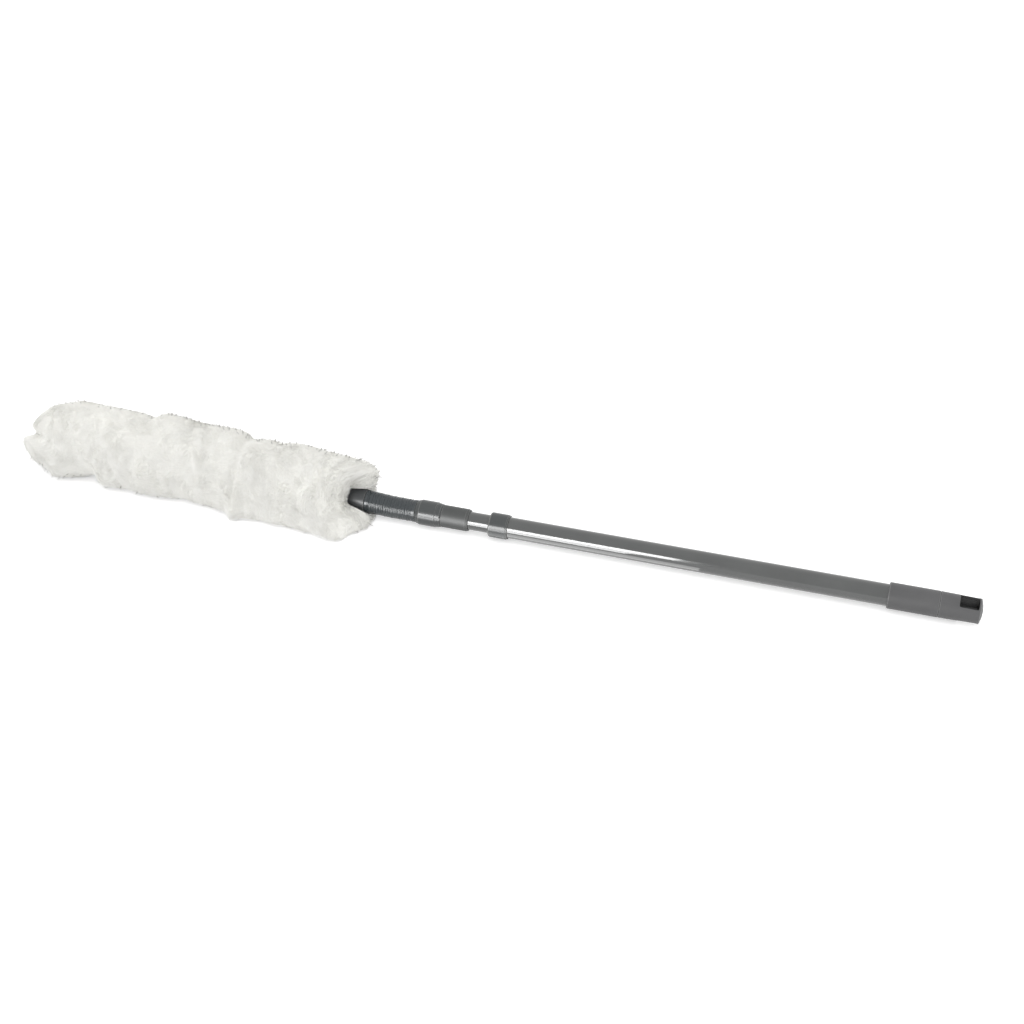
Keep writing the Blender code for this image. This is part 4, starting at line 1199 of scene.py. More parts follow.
@dataclass
class PileShape:
    """The pile's envelope, from its knit side to its tips.

    A place is given by its share along a meridian that runs from the mouth over the outside to
    the tip, the angle round the head's axis, and its depth: 0 at the inner skin, 1 at the tips.

    Attributes:
        outer: The meridian of the tips, as distance from the hinge and radius.
        inner: The meridian of the inner skin.
        sag: How far the section's middle lies towards the low front side, along the head.
        upper: The pile's reach on its upper back side, along the head.
        lower: The pile's reach on its low front side.
        upper_angle: The direction of the upper side round the axis, in degrees from +Y.
        lower_angle: The direction of the lower side.
        between_share: The share of both sides' swell that the sides between them have.
        far_swell: How far the far side swells, to the front side's width.
        tip_fade: Where the swell has gone at the tip, and where it is whole.
        mouth_fade: Where the swell has gone at the mouth, and where it is whole.
        mouth_form: Where the forms of the mouth's edge have gone, and where they are whole.
        mouth_dip: How far the mouth's edge draws back in front of the ferrule.
        mouth_dip_angle: The direction of that dip, and half its width, in degrees.
        mouth_far_dip: How far the mouth's edge draws back on the far side.
        mouth_overlap: How far the whole mouth reaches back over the neck.
        notch_reach: Where the pile's parting at the tip begins, and where it is whole.
        notch: The parting's depth, its distance from the axis towards the low front side, and its
            half width.
        lobe: How far the low front lobe stands out of the tip, its distance and its half width.
        ground_spread: The share by which the pile lies wider near the ground.
        mouth_spread: The share that is added to it near the mouth.
        spread_height: The height at which the spread has fallen to a third.
        press_height: Below this height the ground presses the pile flat.
        ground_gap: How far off the ground the pressed pile stays.
    """

    outer: Rows = (
        (0.0440, 0.0128), (0.0300, 0.0131), (0.0205, 0.0148), (0.0160, 0.0195), (0.0163, 0.0275),
        (0.0205, 0.0346), (0.0295, 0.0391), (0.0450, 0.0422), (0.0650, 0.0434), (0.1000, 0.0435),
        (0.2000, 0.0435), (0.3000, 0.0435), (0.3480, 0.0432), (0.3630, 0.0418), (0.3780, 0.0378),
        (0.3890, 0.0328), (0.3980, 0.0264), (0.4050, 0.0192), (0.4100, 0.0112), (0.4120, 0.0),
    )
    inner: Rows = (
        (0.0475, 0.0150), (0.0440, 0.0165), (0.0410, 0.0190), (0.0400, 0.0215), (0.0410, 0.0240),
        (0.0440, 0.0265), (0.0480, 0.0285), (0.0560, 0.0305), (0.0700, 0.0315), (0.1000, 0.0318),
        (0.2000, 0.0318), (0.3000, 0.0318), (0.3500, 0.0312), (0.3620, 0.0298), (0.3740, 0.0268),
        (0.3830, 0.0230), (0.3900, 0.0185), (0.3960, 0.0135), (0.4000, 0.0080), (0.4020, 0.0),
    )
    sag: Rows = (
        (0.00, 0.001), (0.10, 0.0025), (0.30, 0.0025), (0.34, 0.0035), (0.366, 0.0050),
        (0.382, 0.0065), (0.398, 0.0100), (0.408, 0.0135), (0.417, 0.0180),
    )
    upper: Rows = (
        (0.0200, 0.0345), (0.0306, 0.0388), (0.0577, 0.0402), (0.0847, 0.0407), (0.1120, 0.0423),
        (0.1310, 0.0380), (0.1450, 0.0392), (0.1560, 0.0372), (0.1644, 0.0345), (0.1730, 0.0415),
        (0.1860, 0.0425), (0.2207, 0.0407), (0.2500, 0.0425), (0.2630, 0.0430), (0.2747, 0.0340),
        (0.2860, 0.0365), (0.3036, 0.0370), (0.3320, 0.0366), (0.3601, 0.0358), (0.3866, 0.0262),
        (0.3960, 0.0190),
    )
    lower: Rows = (
        (0.0160, 0.0280), (0.0250, 0.0330), (0.0310, 0.0385), (0.0345, 0.0470), (0.0395, 0.0500),
        (0.0450, 0.0490), (0.0530, 0.0465), (0.0767, 0.0468), (0.1037, 0.0471),
        (0.1319, 0.0485), (0.1450, 0.0480), (0.1573, 0.0555), (0.1680, 0.0450), (0.1999, 0.0420),
        (0.2148, 0.0400), (0.2546, 0.0455), (0.2824, 0.0445), (0.3104, 0.0460), (0.3180, 0.0415),
        (0.3230, 0.0350), (0.3300, 0.0370), (0.3399, 0.0415), (0.3665, 0.0485), (0.3780, 0.0430),
        (0.3900, 0.0385),
    )
    upper_angle: float = 52.0
    lower_angle: float = 229.0
    between_share: float = 0.35
    far_swell: float = 0.0040
    tip_fade: tuple[float, float] = (0.402, 0.382)
    mouth_fade: tuple[float, float] = (0.012, 0.018)
    mouth_form: tuple[float, float] = (0.105, 0.020)
    mouth_dip: float = 0.0270
    mouth_dip_angle: tuple[float, float] = (131.0, 53.0)
    mouth_far_dip: float = 0.0170
    mouth_overlap: float = 0.0015
    notch_reach: tuple[float, float] = (0.372, 0.412)
    notch: tuple[float, float, float] = (0.0160, 0.0080, 0.0040)
    lobe: tuple[float, float, float] = (0.0040, 0.0230, 0.0100)
    ground_spread: float = 0.16
    mouth_spread: float = 0.15
    spread_height: float = 0.018
    press_height: float = 0.0065
    ground_gap: float = 0.0004

    def place(self, share: Array, angle: Array, depth: Array) -> Array:
        """Return places in the CAD model's frame.

        Args:
            share: The share along the meridian, 0 at the mouth and 1 at the tip.
            angle: The angle round the axis, in radians from +Y towards up.
            depth: 0 at the inner skin and 1 at the tips.

        Returns:
            Rows of x, y and z.
        """
        out_s, out_r = self._meridian(self.outer, share)
        in_s, in_r = self._meridian(self.inner, share)
        along = in_s + (out_s - in_s) * depth
        radius = in_r + (out_r - in_r) * depth
        reach = ramp(radius, 0.0, 0.034)
        radius = radius + self._swell(along, angle) * reach * np.clip(depth, 0.0, 1.2)
        along = along + self._mouth_shift(angle) * eased(along, *self.mouth_form)
        sag = self._table(self.sag, along)
        low = radians(self.lower_angle)
        across = radius * np.cos(angle - low) + sag
        side = radius * np.sin(angle - low)
        along = along - self._notch(along, across, side)
        y = across * cos(low) - side * sin(low)
        up = across * sin(low) + side * cos(low)
        return self._press(along, y, up)

    def shell(self, share: Array, angle: Array, depth: float) -> Array:
        """Return places that all lie at one depth.

        Args:
            share: The share along the meridian.
            angle: The angle round the axis.
            depth: The depth of them all.
        """
        return self.place(share, angle, np.full(len(share), depth))

    @staticmethod
    def _table(rows: Rows, values: Array) -> Array:
        """Return a table's values at places between its rows.

        Args:
            rows: The table, as places in rising order and their values.
            values: The places to look up.
        """
        table = np.array(rows)
        return np.interp(values, table[:, 0], table[:, 1])

    def length(self) -> float:
        """Return the length of the meridian of the tips."""
        return float(self._steps()[-1])

    def _steps(self) -> Array:
        """Return how far along the meridian of the tips each of its rows lies."""
        table = np.array(self.outer)
        return np.concatenate([[0.0], np.cumsum(np.linalg.norm(np.diff(table, axis=0), axis=1))])

    def _meridian(self, rows: Rows, share: Array) -> tuple[Array, Array]:
        """Return distance from the hinge and radius at shares of a meridian.

        Args:
            rows: The meridian's rows, one for each row of the meridian of the tips.
            share: The share of the length of the meridian of the tips.
        """
        table = np.array(rows)
        steps = self._steps() / self.length()
        return np.interp(share, steps, table[:, 0]), np.interp(share, steps, table[:, 1])

    def _swell(self, along: Array, angle: Array) -> Array:
        """Return how far the tips stand outside the plain round envelope.

        Args:
            along: Distance from the hinge.
            angle: The angle round the axis.
        """
        sag = self._table(self.sag, along)
        plain = self._plain_radius(along)
        fade = ramp(along, *self.tip_fade) * ramp(along, *self.mouth_fade)
        above = (self._table(self.upper, along) + sag - plain) * fade
        below = (self._table(self.lower, along) - sag - plain) * fade
        toward_upper = facing(angle, self.upper_angle) ** 2
        toward_lower = facing(angle, self.lower_angle) ** 2
        between = 1.0 - toward_upper - toward_lower
        lumps = 0.0017 * np.sin(along * 118.0 + 2.2 * np.sin(angle * 2.0) + 0.6)
        lumps += 0.0013 * np.sin(along * 203.0 - angle * 3.0 + 1.9)
        lumps += 0.0010 * np.sin(along * 61.0 + angle * 4.0 + 4.0)
        middle = self.between_share * (above + below) + lumps
        behind = self.far_swell * fade * facing(angle, -10.0) ** 2
        return above * toward_upper + below * toward_lower + middle * between + behind

    def _plain_radius(self, along: Array) -> Array:
        """Return the plain envelope's radius on the outside at a distance from the hinge.

        Args:
            along: Distance from the hinge.
        """
        table = np.array(self.outer[4:])
        return np.interp(along, table[:, 0], table[:, 1])

    def _mouth_shift(self, angle: Array) -> Array:
        """Return how far the mouth's edge lies towards the tip, round the axis.

        Args:
            angle: The angle round the axis.
        """
        middle, half_width = (radians(value) for value in self.mouth_dip_angle)
        turn = np.abs(np.angle(np.exp(1j * (angle - middle))))
        dip = self.mouth_dip * np.exp(-((turn / half_width) ** 4))
        return dip + self.mouth_far_dip * facing(angle, -5.0) ** 2 - self.mouth_overlap

    def _notch(self, along: Array, across: Array, side: Array) -> Array:
        """Return how far places near the tip move back, most where the pile parts.

        Args:
            along: Distance from the hinge.
            across: Distance from the axis towards the low front side.
            side: Distance from the axis square to that.
        """
        depth, middle, half_width = self.notch
        parting = depth * hump(across - middle + 0.08 * side, half_width)
        length, middle, half_width = self.lobe
        lobe = length * hump(across - middle, half_width)
        return ramp(along, *self.notch_reach) * (parting - lobe)

    def _press(self, along: Array, y: Array, up: Array) -> Array:
        """Return places in the CAD model's frame, pressed flat and spread by the ground.

        Args:
            along: Distance from the hinge.
            y: Distance to the side.
            up: Distance above the head's axis, square to it.
        """
        x = HINGE.x - along * cos(HEAD_TILT) + up * sin(HEAD_TILT)
        z = HINGE.z + along * sin(HEAD_TILT) + up * cos(HEAD_TILT)
        widest = self.ground_spread + self.mouth_spread * hump(along - 0.050, 0.045)
        spread = widest * hump(np.maximum(z, 0.0), self.spread_height) * ramp(up, 0.0, -0.01)
        pressed = self.press_height * np.exp((z - self.press_height) / self.press_height)
        z = np.where(z < self.press_height, pressed, z) + self.ground_gap
        return np.stack([x, y * (1.0 + spread), z], axis=-1)


@dataclass
class YarnEnd:
    """One strand of the pile: a three-sided yarn end that tapers to a point.

    Attributes:
        sides: Sides of its section.
        stops: Where its rings lie, as shares of its length.
        widths: The strand's half thickness at each ring.
    """

    sides: int = 3
    stops: tuple[float, ...] = (0.0, 0.55)
    widths: tuple[float, ...] = (0.00018, 0.00016)

    def model(self) -> tuple[Array, Array, Array]:
        """Model the strand once, standing up from the origin, for its many copies.

        Returns:
            For each vertex its share of the length and its place across it, and the triangles.
        """
        deselect_all()
        bpy.ops.mesh.primitive_circle_add(vertices=self.sides, radius=self.widths[0])
        strand = bpy.context.active_object
        bpy.ops.object.mode_set(mode="EDIT")
        bpy.ops.mesh.select_all(action="SELECT")
        for index in range(1, len(self.stops)):
            rise = self.stops[index] - self.stops[index - 1]
            scale = self.widths[index] / self.widths[index - 1]
            bpy.ops.mesh.extrude_region_move(TRANSFORM_OT_translate={"value": (0.0, 0.0, rise)})
            bpy.ops.transform.resize(value=(scale, scale, 1.0),
                                     center_override=(0.0, 0.0, self.stops[index]))
        bpy.ops.mesh.extrude_region_move(
            TRANSFORM_OT_translate={"value": (0.0, 0.0, 1.0 - self.stops[-1])})
        bpy.ops.mesh.merge(type="CENTER")
        bpy.ops.mesh.select_all(action="SELECT")
        bpy.ops.mesh.normals_make_consistent(inside=False)
        bpy.ops.mesh.quads_convert_to_tris()
        bpy.ops.object.mode_set(mode="OBJECT")
        places = vertex_places(strand)
        corners = np.array([tuple(face.vertices) for face in strand.data.polygons], dtype=np.int64)
        bpy.data.objects.remove(strand, do_unlink=True)
        return places[:, 2], places[:, :2], corners


@dataclass
class Pile:
    """The microfibre pile: a soft lumpy body that fine tufts of yarn ends stand out of.

    Attributes:
        shape: The pile's envelope.
        body_depth: How deep under the tips the body's surface lies, 0 at the skin and 1 at the tips.
        body_lumps: How far the tufts lift that surface, as a share of the pile's depth.
        body_grid: The body's rings along the pile and its sides round it.
        hollow: The body's hollow: its narrow nose, where it is whole, and its end at the mouth.
        pocket_room: How far the hollow stands off the knit pocket's inner face.
        tufts: How many tufts stand out of it at most.
        tuft_spacing: The least distance between two tufts.
        tuft_depth: The depth at which distances between tufts are measured.
        strands: How many strands a tuft has.
        bands: Into how many pieces the strands are split along the head.
        tuft_radius: How wide a tuft is at its root.
        tip_radius: How wide it is at its tip.
        lean: How far the tips of a tuft lean from its root.
        stray_strands: How many strands stand up in a lock that strays out of the pile.
        stray_reach: How deep the tips of such locks reach, 1 at the other tips.
        stray_chance: The share of tufts that have one where they are most frequent.
        seed: The seed of every random draw.
    """

    shape: PileShape
    body_depth: float = 0.86
    body_lumps: float = 0.06
    body_grid: tuple[int, int] = (330, 224)
    hollow: tuple[float, float, float] = (0.4000, 0.3985, 0.0490)
    pocket_room: float = 0.0012
    tufts: int = 7000
    tuft_spacing: float = 0.0029
    tuft_depth: float = 0.90
    strands: int = 26
    bands: int = 10
    tuft_radius: float = 0.0042
    tip_radius: float = 0.0042
    lean: float = 0.0095
    stray_strands: int = 5
    stray_reach: tuple[float, float] = (1.12, 1.30)
    stray_chance: float = 0.50
    seed: int = 28

    def build(self, finishes: Finishes) -> None:
        """Model and dress the body and the strands.

        Args:
            finishes: The duster's materials.
        """
        random = np.random.default_rng(self.seed)
        share, angle = self._tuft_places(random)
        dress(self._body(share, angle), finishes.yarn, Body.SLEEVE, Slot.PILE, "sleeve_pile")
        for piece in self._strand_bands(share, angle, random):
            dress(piece, finishes.yarn, Body.SLEEVE, Slot.PILE)

    def _body(self, tuft_share: Array, tuft_angle: Array) -> bpy.types.Object:
        """Model the closed lumpy body that fills the pile.

        Args:
            tuft_share: The tufts' shares along the meridian.
            tuft_angle: Their angles.

        Returns:
            The finished object.
        """
        rows, sides = self.body_grid
        shares = np.linspace(0.0, 1.0, rows)[:-1]
        angles = np.linspace(0.0, 2 * pi, sides, endpoint=False)
        grid_share, grid_angle = (grid.ravel() for grid in np.meshgrid(shares, angles, indexing="ij"))
        plain = self.shape.shell(grid_share, grid_angle, self.body_depth)
        centres = self.shape.shell(tuft_share, tuft_angle, self.body_depth)
        lift = nearness(plain, centres, self.tuft_radius * 0.62)
        depth = self.body_depth + self.body_lumps * (lift - 0.5)
        depth = depth * ramp(grid_share, 0.0, 0.03)
        outside = self.shape.place(grid_share, grid_angle, depth).reshape(len(shares), len(angles), 3)
        hollow_nose, hollow_front, hollow_back = self.hollow
        stations = np.linspace(hollow_front, hollow_back, 40)
        hollow = np.stack([pocket_ring(along, self.pocket_room, angles) for along in stations])
        nose = pocket_ring(hollow_nose, self.pocket_room, angles, 0.55)[None]
        rings = np.concatenate([nose, hollow, outside])
        body = ring_mesh("soft_pile_body", rings, True, True)
        # Painted shade: with along at 0 the whole body takes the darker root colour, for the shade deep in
        # the fur. The tone is highest in the low places between tufts, a painted shade that the root colour
        # covers.
        store(body, "along", np.zeros(len(body.data.vertices)))
        tone = np.full(len(body.data.vertices), 0.5)
        first = (1 + len(hollow)) * len(angles)
        tone[first:first + len(lift)] = np.clip(1.1 - lift, 0.0, 1.0)
        store(body, "tuft", tone)
        store(body, "stray", np.zeros(len(body.data.vertices)))
        return finished(body, 80.0)

    def _tuft_places(self, random: np.random.Generator) -> tuple[Array, Array]:
        """Return the tufts' shares and angles, evenly spread over the envelope.

        Args:
            random: The source of random draws.
        """
        tries = self.tufts * 12
        share = random.uniform(0.004, 0.995, tries)
        angle = random.uniform(0.0, 2 * pi, tries)
        here = self.shape.shell(share, angle, self.tuft_depth)
        ahead = self.shape.shell(share + 0.004, angle, self.tuft_depth)
        beside = self.shape.shell(share, angle + 0.02, self.tuft_depth)
        area = np.linalg.norm(np.cross(ahead - here, beside - here), axis=1)
        keep = random.uniform(0.0, np.quantile(area, 0.995), tries) < area
        share, angle, here = share[keep], angle[keep], here[keep]
        chosen = spaced(here, self.tufts, self.tuft_spacing, random)
        order = chosen[np.argsort(share[chosen])]
        return share[order], angle[order]

    def _strand_bands(self, tuft_share: Array, tuft_angle: Array, random: np.random.Generator
                      ) -> list[bpy.types.Object]:
        """Model every strand, split into bands along the head.

        Args:
            tuft_share: The tufts' shares along the meridian, in rising order.
            tuft_angle: Their angles.
            random: The source of random draws.

        Returns:
            One mesh object for each band.
        """
        heights, across, corners = YarnEnd().model()
        pieces = []
        for index, members in enumerate(np.array_split(np.arange(len(tuft_share)), self.bands)):
            strands = self._strands(tuft_share[members], tuft_angle[members], heights, across, random)
            pieces.append(self._strand_mesh(f"pile_strands_{index + 1}", *strands, heights, corners))
        return pieces

    def _strands(self, share: Array, angle: Array, heights: Array, across: Array,
                 random: np.random.Generator) -> tuple[Array, Array, Array]:
        """Return the vertices of the strands of some tufts.

        Args:
            share: The tufts' shares along the meridian.
            angle: Their angles.
            heights: The model strand's vertex heights, as shares of its length.
            across: Its vertices' places across the strand.
            random: The source of random draws.

        Returns:
            Vertices as [strand, vertex, xyz], each strand's tone, and which strands stand out of
            the pile.
        """
        tufts = len(share)
        count = tufts * self.strands
        owner = np.repeat(np.arange(tufts), self.strands)
        swirl = 1.7 * np.sin(share * 37.0 + 1.3) + 1.5 * np.sin(angle * 3.0 + share * 53.0)
        swirl = swirl * ramp(share, 0.04, 0.16)
        lean = self.lean * random.uniform(0.6, 1.0, tufts)
        scatter = 0.18 * self.lean
        lean_along = lean * np.cos(swirl) + scatter * random.normal(size=tufts)
        lean_round = lean * np.sin(swirl) + scatter * random.normal(size=tufts)
        lean_round = lean_round - 0.2 * self.lean * np.cos(angle)
        reach = np.clip(1.0 + 0.03 * random.normal(size=tufts), 0.92, 1.06)
        twist = random.uniform(-0.4, 0.4, tufts)
        tone = random.uniform(0.0, 1.0, tufts)

        spoke = random.uniform(0.0, 2 * pi, count)
        root = self.tuft_radius * np.sqrt(random.uniform(0.0, 1.0, count))
        end = self.tip_radius * np.sqrt(random.uniform(0.0, 1.0, count))
        own_reach = np.where(random.uniform(size=count) < 0.3, random.uniform(0.92, 0.99, count), 1.0)
        own_reach = own_reach * reach[owner]
        hook = 0.0007 * random.normal(size=(2, count))
        leaning = np.ones(count)
        stray = self._strays(share, angle, random)
        own_reach[stray] = np.repeat(random.uniform(*self.stray_reach, tufts), self.strands)[stray]
        root[stray] *= 0.15
        end[stray] *= 0.10
        hook[:, stray] = np.repeat(0.0016 * random.normal(size=(2, tufts)), self.strands, axis=1)[:, stray]
        leaning[stray] = 0.3
        stops = np.unique(np.round(heights, 6))
        path = np.empty((count, len(stops), 3))
        metres_per_share = self.shape.length()
        here = self.shape.shell(share, angle, self.tuft_depth)
        opposite = self.shape.shell(share, angle + pi, self.tuft_depth)
        radius = np.clip(np.linalg.norm(here - opposite, axis=1) / 2, 0.010, None)[owner]
        base = self.body_depth - self.body_lumps
        for index, stop in enumerate(stops):
            width = root * (1 - stop) ** 1.2 + end * stop
            spin = spoke + twist[owner] * stop
            bend = stop ** 1.2 - 0.6
            shift_along = leaning * lean_along[owner] * bend + width * np.cos(spin) + hook[0] * stop ** 3
            shift_round = leaning * lean_round[owner] * bend + width * np.sin(spin) + hook[1] * stop ** 3
            place_share = np.clip(share[owner] + shift_along / metres_per_share, 0.004, 0.9995)
            path[:, index] = self.shape.place(place_share, angle[owner] + shift_round / radius,
                                              base + (own_reach - base) * stop)
        jitter = np.clip(tone[owner] + 0.2 * random.normal(size=count), 0.0, 1.0)
        return self._skin(path, stops, heights, across), jitter, stray.astype(float)

    def _strays(self, share: Array, angle: Array, random: np.random.Generator) -> Array:
        """Return which strands stand up in a little lock of their own, out of the pile.

        They are most frequent along the top and the bottom, at the tip and round the mouth, where
        the pile is rubbed.

        Args:
            share: The tufts' shares along the meridian.
            angle: Their angles.
            random: The source of random draws.
        """
        top = facing(angle, self.shape.upper_angle + 4.0) ** 40
        bottom = facing(angle, self.shape.lower_angle - 6.0) ** 40
        tip = ramp(share, 0.975, 0.985)
        mouth = 0.6 * ramp(share, 0.055, 0.035)
        chance = self.stray_chance * np.max([top, bottom, tip, mouth], axis=0) - 0.01
        chosen = random.uniform(size=len(share)) < chance
        lock = np.arange(self.strands) < self.stray_strands
        return (chosen[:, None] & lock[None, :]).ravel()

    @staticmethod
    def _skin(path: Array, stops: Array, heights: Array, across: Array) -> Array:
        """Return the vertices of strands that follow paths.

        Args:
            path: The strands' paths as [strand, stop, xyz].
            stops: The share of the length at each stop.
            heights: The model strand's vertex heights.
            across: Its vertices' places across it.
        """
        tangent = np.gradient(path, axis=1)
        tangent /= np.linalg.norm(tangent, axis=2, keepdims=True) + 1e-12
        helper = np.array([0.31, 0.83, 0.46])
        first = np.cross(tangent, helper)
        first /= np.linalg.norm(first, axis=2, keepdims=True) + 1e-9
        second = np.cross(tangent, first)
        level = np.searchsorted(stops, np.round(heights, 6))
        vertices = path[:, level]
        vertices = vertices + first[:, level] * across[None, :, 0, None]
        vertices = vertices + second[:, level] * across[None, :, 1, None]
        vertices[:, :, 2] = np.maximum(vertices[:, :, 2], 0.0001)
        return vertices

    @staticmethod
    def _strand_mesh(name: str, vertices: Array, tone: Array, stray: Array, heights: Array,
                     corners: Array) -> bpy.types.Object:
        """Return one mesh object of many strands.

        Args:
            name: The object's name.
            vertices: Vertices as [strand, vertex, xyz].
            tone: Each strand's tone.
            stray: 1 for each strand that stands out of the pile, and 0 for the others.
            heights: Each vertex's share of the length of the model strand.
            corners: The model strand's triangles.
        """
        count, size, _ = vertices.shape
        triangles = (np.arange(count)[:, None, None] * size + corners[None]).reshape(-1, 3)
        mesh = bpy.data.meshes.new(name)
        mesh.vertices.add(count * size)
        mesh.vertices.foreach_set("co", vertices.astype(np.float32).ravel())
        mesh.loops.add(triangles.size)
        mesh.loops.foreach_set("vertex_index", triangles.astype(np.int32).ravel())
        mesh.polygons.add(len(triangles))
        mesh.polygons.foreach_set("loop_start", np.arange(0, triangles.size, 3, dtype=np.int32))
        mesh.update(calc_edges=True)
        mesh.shade_flat()
        piece = bpy.data.objects.new(name, mesh)
        bpy.context.scene.collection.objects.link(piece)
        store(piece, "along", np.tile(heights, count))
        store(piece, "tuft", np.repeat(tone, size))
        # Painted shade: the upper part of each stray lock's strands is marked for the dark grey stray
        # colour.
        store(piece, "stray", (stray[:, None] * ramp(heights, 0.2, 0.5)).ravel())
        return piece


def nearness(places: Array, centres: Array, width: float) -> Array:
    """Return for each place 1 at the nearest centre, falling to 0 away from it.

    Args:
        places: Rows of x, y and z.
        centres: The centres.
        width: The distance at which it has fallen to a half.
    """
    tree = KDTree(len(centres))
    for index, centre in enumerate(centres):
        tree.insert(centre, index)
    tree.balance()
    away = np.array([tree.find(place)[2] for place in places])
    return 1.0 / (1.0 + (away / width) ** 2)


def spaced(places: Array, wanted: int, spacing: float, random: np.random.Generator) -> Array:
    """Return the indices of places that keep a distance from each other.

    Args:
        places: Candidate places.
        wanted: How many are kept at most.
        spacing: The least distance between two kept places.
        random: The source of random draws.
    """
    keys = [tuple(key) for key in np.floor(places / spacing).astype(int).tolist()]
    taken: dict[tuple[int, int, int], list[int]] = {}
    steps = [(dx, dy, dz) for dx in (-1, 0, 1) for dy in (-1, 0, 1) for dz in (-1, 0, 1)]
    rows = places.tolist()
    kept = []
    for index in random.permutation(len(places)).tolist():
        x, y, z = rows[index]
        cell = keys[index]
        near = any(
            (rows[other][0] - x) ** 2 + (rows[other][1] - y) ** 2 + (rows[other][2] - z) ** 2
            < spacing * spacing
            for dx, dy, dz in steps
            for other in taken.get((cell[0] + dx, cell[1] + dy, cell[2] + dz), ())
        )
        if near:
            continue
        taken.setdefault(cell, []).append(index)
        kept.append(index)
        if len(kept) == wanted:
            break
    LOG.info("%d tufts placed", len(kept))
    return np.array(kept)


def on_head(along: float | Array, y: Array, up: Array) -> Array:
    """Carry places measured on the head to the CAD model's frame.

    Args:
        along: Distance from the hinge.
        y: Distance to the side.
        up: Distance above the head's axis.
    """
    rows = np.stack([np.zeros_like(y) - along, y, up, np.ones_like(y)])
    return (np.array(HEAD_PLACE) @ rows)[:3].T


def pocket_ring(along: float, extra: float, angles: Array, narrow: float = 1.0) -> Array:
    """Return a ring of the knit pocket's section, in the CAD model's frame.

    Args:
        along: Distance from the hinge.
        extra: How far outside the pocket's inner face the ring lies.
        angles: The angles round the head's axis.
        narrow: A share that the section's width is cut to.
    """
    taper = (0.0483, 0.1033)
    mouth_radius, flat_half_width, flat_half_height = 0.0127, 0.0135, 0.0030
    ease = eased(along, *taper)
    half_width = (mouth_radius + ease * (flat_half_width - mouth_radius) + extra) * narrow
    half_height = mouth_radius + ease * (flat_half_height - mouth_radius) + extra
    power = 2.0 / (2.0 + 4.0 * ease)
    y = half_width * np.sign(np.cos(angles)) * np.abs(np.cos(angles)) ** power
    up = half_height * np.sign(np.sin(angles)) * np.abs(np.sin(angles)) ** power
    return on_head(along, y, up)


@dataclass
class KnitPocket:
    """The knit pocket that slides over the paddle, and its elastic hem.

    Attributes:
        back: The pocket's mouth, as distance from the hinge.
        front: Its nose.
        wall: The knit's thickness.
        hem_back: The hem's back edge.
        hem_front: The hem's front edge.
        hem_radius: The hem's inner radius.
        hem_folds: How many gathers the elastic pulls in.
        flat: The width, all round, and the length of the knit before it is sewn into a pocket; not used.
    """

    back: float = 0.0484
    front: float = 0.4000
    wall: float = 0.0008
    hem_back: float = 0.0438
    hem_front: float = 0.0482
    hem_radius: float = 0.0128
    hem_folds: int = 26
    flat: tuple[float, float] = (0.066, 0.355)

    def build(self, finishes: Finishes) -> None:
        """Model and dress the pocket and its hem.

        Args:
            finishes: The duster's materials.
        """
        pocket = self._pocket()
        hem = self._hem()
        dress(pocket, finishes.knit, Body.SLEEVE, Slot.KNIT, "sleeve_backing")
        dress(hem, finishes.elastic, Body.SLEEVE, Slot.HEM_ELASTIC, "sleeve_hem")

    def _pocket(self) -> bpy.types.Object:
        """Model the knit pocket as a closed thin bag."""
        angles = np.linspace(0.0, 2 * pi, 72, endpoint=False)
        stations = np.linspace(self.back, self.front - 0.008, 60)
        outside = [pocket_ring(along, self.wall, angles) for along in stations[::-1]]
        inside = [pocket_ring(along, 0.0, angles) for along in stations]
        nose_out = pocket_ring(self.front, self.wall, angles, 0.6)
        nose_in = pocket_ring(self.front - self.wall, 0.0, angles, 0.6)
        rings = np.stack([nose_out, *outside, *inside, nose_in])
        return finished(ring_mesh("knit_pocket", rings, True, True), 60.0)

    def _hem(self) -> bpy.types.Object:
        """Model the gathered elastic band round the ferrule."""
        angles = np.linspace(0.0, 2 * pi, self.hem_folds * 8, endpoint=False)
        turns = np.linspace(0.0, 2 * pi, 17, endpoint=False)
        middle = (self.hem_back + self.hem_front) / 2
        half = (self.hem_front - self.hem_back) / 2
        folds = 0.5 + 0.5 * np.cos(angles * self.hem_folds)
        half_thickness = 0.0008
        fold_height = 0.0005
        rings = []
        for turn in turns:
            out = (half_thickness + fold_height * folds) * sin(turn)
            radius = self.hem_radius + half_thickness + out
            along = middle + half * cos(turn) + 0.0003 * folds
            rings.append(on_head(along, radius * np.cos(angles), radius * np.sin(angles)))
        rings.append(rings[0])
        return finished(ring_mesh("gathered_hem_elastic", np.stack(rings), False, False), 60.0)


class Paddle:
    """The slotted core of the head, which keeps its CAD shape."""

    def build(self, finishes: Finishes) -> None:
        """Dress the paddle.

        Args:
            finishes: The duster's materials.
        """
        paint_node("paddle", finishes.paddle)


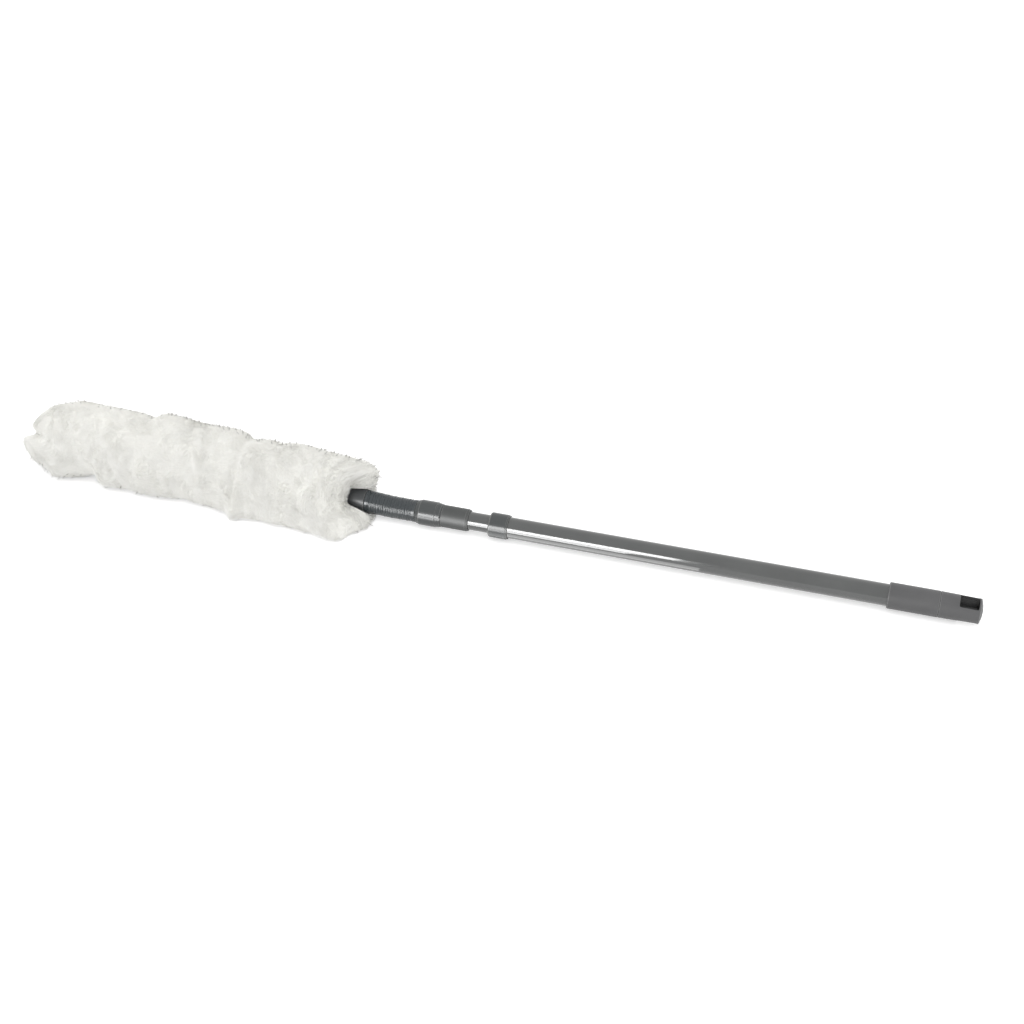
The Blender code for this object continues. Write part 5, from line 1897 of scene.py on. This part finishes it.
@dataclass
class Studio:
    """The pale floor, the lamps, the world and the photograph's camera.

    Attributes:
        camera_place: The camera's place.
        azimuth: How far the camera stands round from straight in front, in degrees.
        elevation: How far it looks down, in degrees.
        lens: Its focal length in millimetres, on a sensor 36 mm wide.
        ambient: The world's strength on the object.
        floor_glow: How strongly the floor glows where it is seen.
    """

    camera_place: Place = (0.4010, -1.2341, 0.9855)
    azimuth: float = 16.45
    elevation: float = 36.5
    lens: float = 55.9
    ambient: float = 0.98
    floor_glow: float = 0.45

    def build(self) -> None:
        """Set up the whole studio."""
        bpy.context.scene.view_settings.view_transform = "Standard"
        self._camera()
        self._world()
        self._floor()
        ceiling = self._lamp("overhead_softbox", (0.0, -0.35, 1.6), (0.0, 0.0, 0.0), (1.6, 1.0), 5.0)
        ceiling.visible_glossy = False
        front = self._lamp("front_softbox", (-0.35, -1.3, 0.95), (-0.2, 0.0, 0.02), (1.0, 0.7), 2.5)
        front.visible_glossy = False
        for strip in (
            self._lamp("highlight_strip", (-0.32, -0.95, 0.230), (-0.32, 0.0, 0.230), (0.82, 0.40), 14.0),
            self._lamp("table_strip", (0.020, -0.240, 0.002), (0.020, -0.240, 1.0), (0.26, 0.39), 2.6),
            self._lamp("near_strip", (0.12, -0.020, 0.002), (0.12, -0.020, 1.0), (0.22, 0.016), 0.022),
        ):
            strip.visible_diffuse = False

    def _camera(self) -> None:
        """Add the camera at the photograph's viewing angle."""
        data = bpy.data.cameras.new("photo_camera")
        data.lens = self.lens
        data.sensor_width = 36.0
        camera = bpy.data.objects.new("photo_camera", data)
        camera.location = self.camera_place
        camera.rotation_euler = (radians(90.0 - self.elevation), 0.0, radians(self.azimuth))
        bpy.context.scene.collection.objects.link(camera)
        bpy.context.scene.camera = camera

    def _world(self) -> None:
        """Make the world white to look at, and dimmer as a light."""
        world = bpy.data.worlds.new("studio_world")
        world.use_nodes = True
        bpy.context.scene.world = world
        sheet = NodeSheet(world.node_tree)
        strength = sheet.spread(self._seen(sheet), self.ambient, 1.0)
        back = sheet.add("ShaderNodeBackground", {"Color": (1.0, 1.0, 1.0, 1.0), "Strength": strength})
        sheet.add("ShaderNodeOutputWorld", {"Surface": back.outputs["Background"]})

    @staticmethod
    def _seen(sheet: NodeSheet) -> bpy.types.NodeSocket:
        """Return 1 where a surface is seen by the camera, in a gloss or through glass.

        Args:
            sheet: The sheet of the floor's or the world's nodes.
        """
        path = sheet.add("ShaderNodeLightPath")
        first = sheet.maths("MAXIMUM", path.outputs["Is Camera Ray"], path.outputs["Is Glossy Ray"])
        return sheet.maths("MAXIMUM", first, path.outputs["Is Transmission Ray"])

    def _floor(self) -> None:
        """Lay the floor, which looks white and keeps the duster's shadow."""
        deselect_all()
        bpy.ops.mesh.primitive_plane_add(size=14.0, location=(0.0, 0.0, -0.0005))
        floor = bpy.context.active_object
        floor.name = "studio_floor"
        material, sheet = started_material("studio_floor")
        plain = sheet.add("ShaderNodeBsdfDiffuse", {"Color": (0.86, 0.86, 0.86, 1.0)})
        glow = sheet.add("ShaderNodeEmission", {
            "Color": (1.0, 1.0, 1.0, 1.0),
            "Strength": sheet.spread(self._seen(sheet), 0.0, self.floor_glow),
        })
        both = sheet.add("ShaderNodeAddShader", {0: plain.outputs["BSDF"], 1: glow.outputs["Emission"]})
        sheet.add("ShaderNodeOutputMaterial", {"Surface": both.outputs["Shader"]})
        floor.data.materials.append(material)

    @staticmethod
    def _lamp(name: str, place: Place, target: Place, size: tuple[float, float], power: float
              ) -> bpy.types.Object:
        """Add a soft rectangular lamp and return it.

        Args:
            name: The lamp's name.
            place: Where it stands.
            target: What it points at.
            size: Its width and height.
            power: Its power in watts.
        """
        data = bpy.data.lights.new(name, "AREA")
        data.shape = "RECTANGLE"
        data.size, data.size_y = size
        data.energy = power
        lamp = bpy.data.objects.new(name, data)
        lamp.location = place
        lamp.rotation_euler = (Vector(target) - Vector(place)).to_track_quat("-Z", "Y").to_euler()
        lamp.visible_camera = False
        bpy.context.scene.collection.objects.link(lamp)
        return lamp


def main() -> None:
    """Build the studio and every part of the duster."""
    logging.basicConfig(level=logging.INFO, format="%(name)s: %(message)s")
    Studio().build()
    finishes = Finishes()
    OuterPole().build(finishes)
    InnerPole().build(finishes)
    Neck().build(finishes)
    Paddle().build(finishes)
    KnitPocket().build(finishes)
    Pile(PileShape()).build(finishes)


if __name__ == "__main__":
    main()
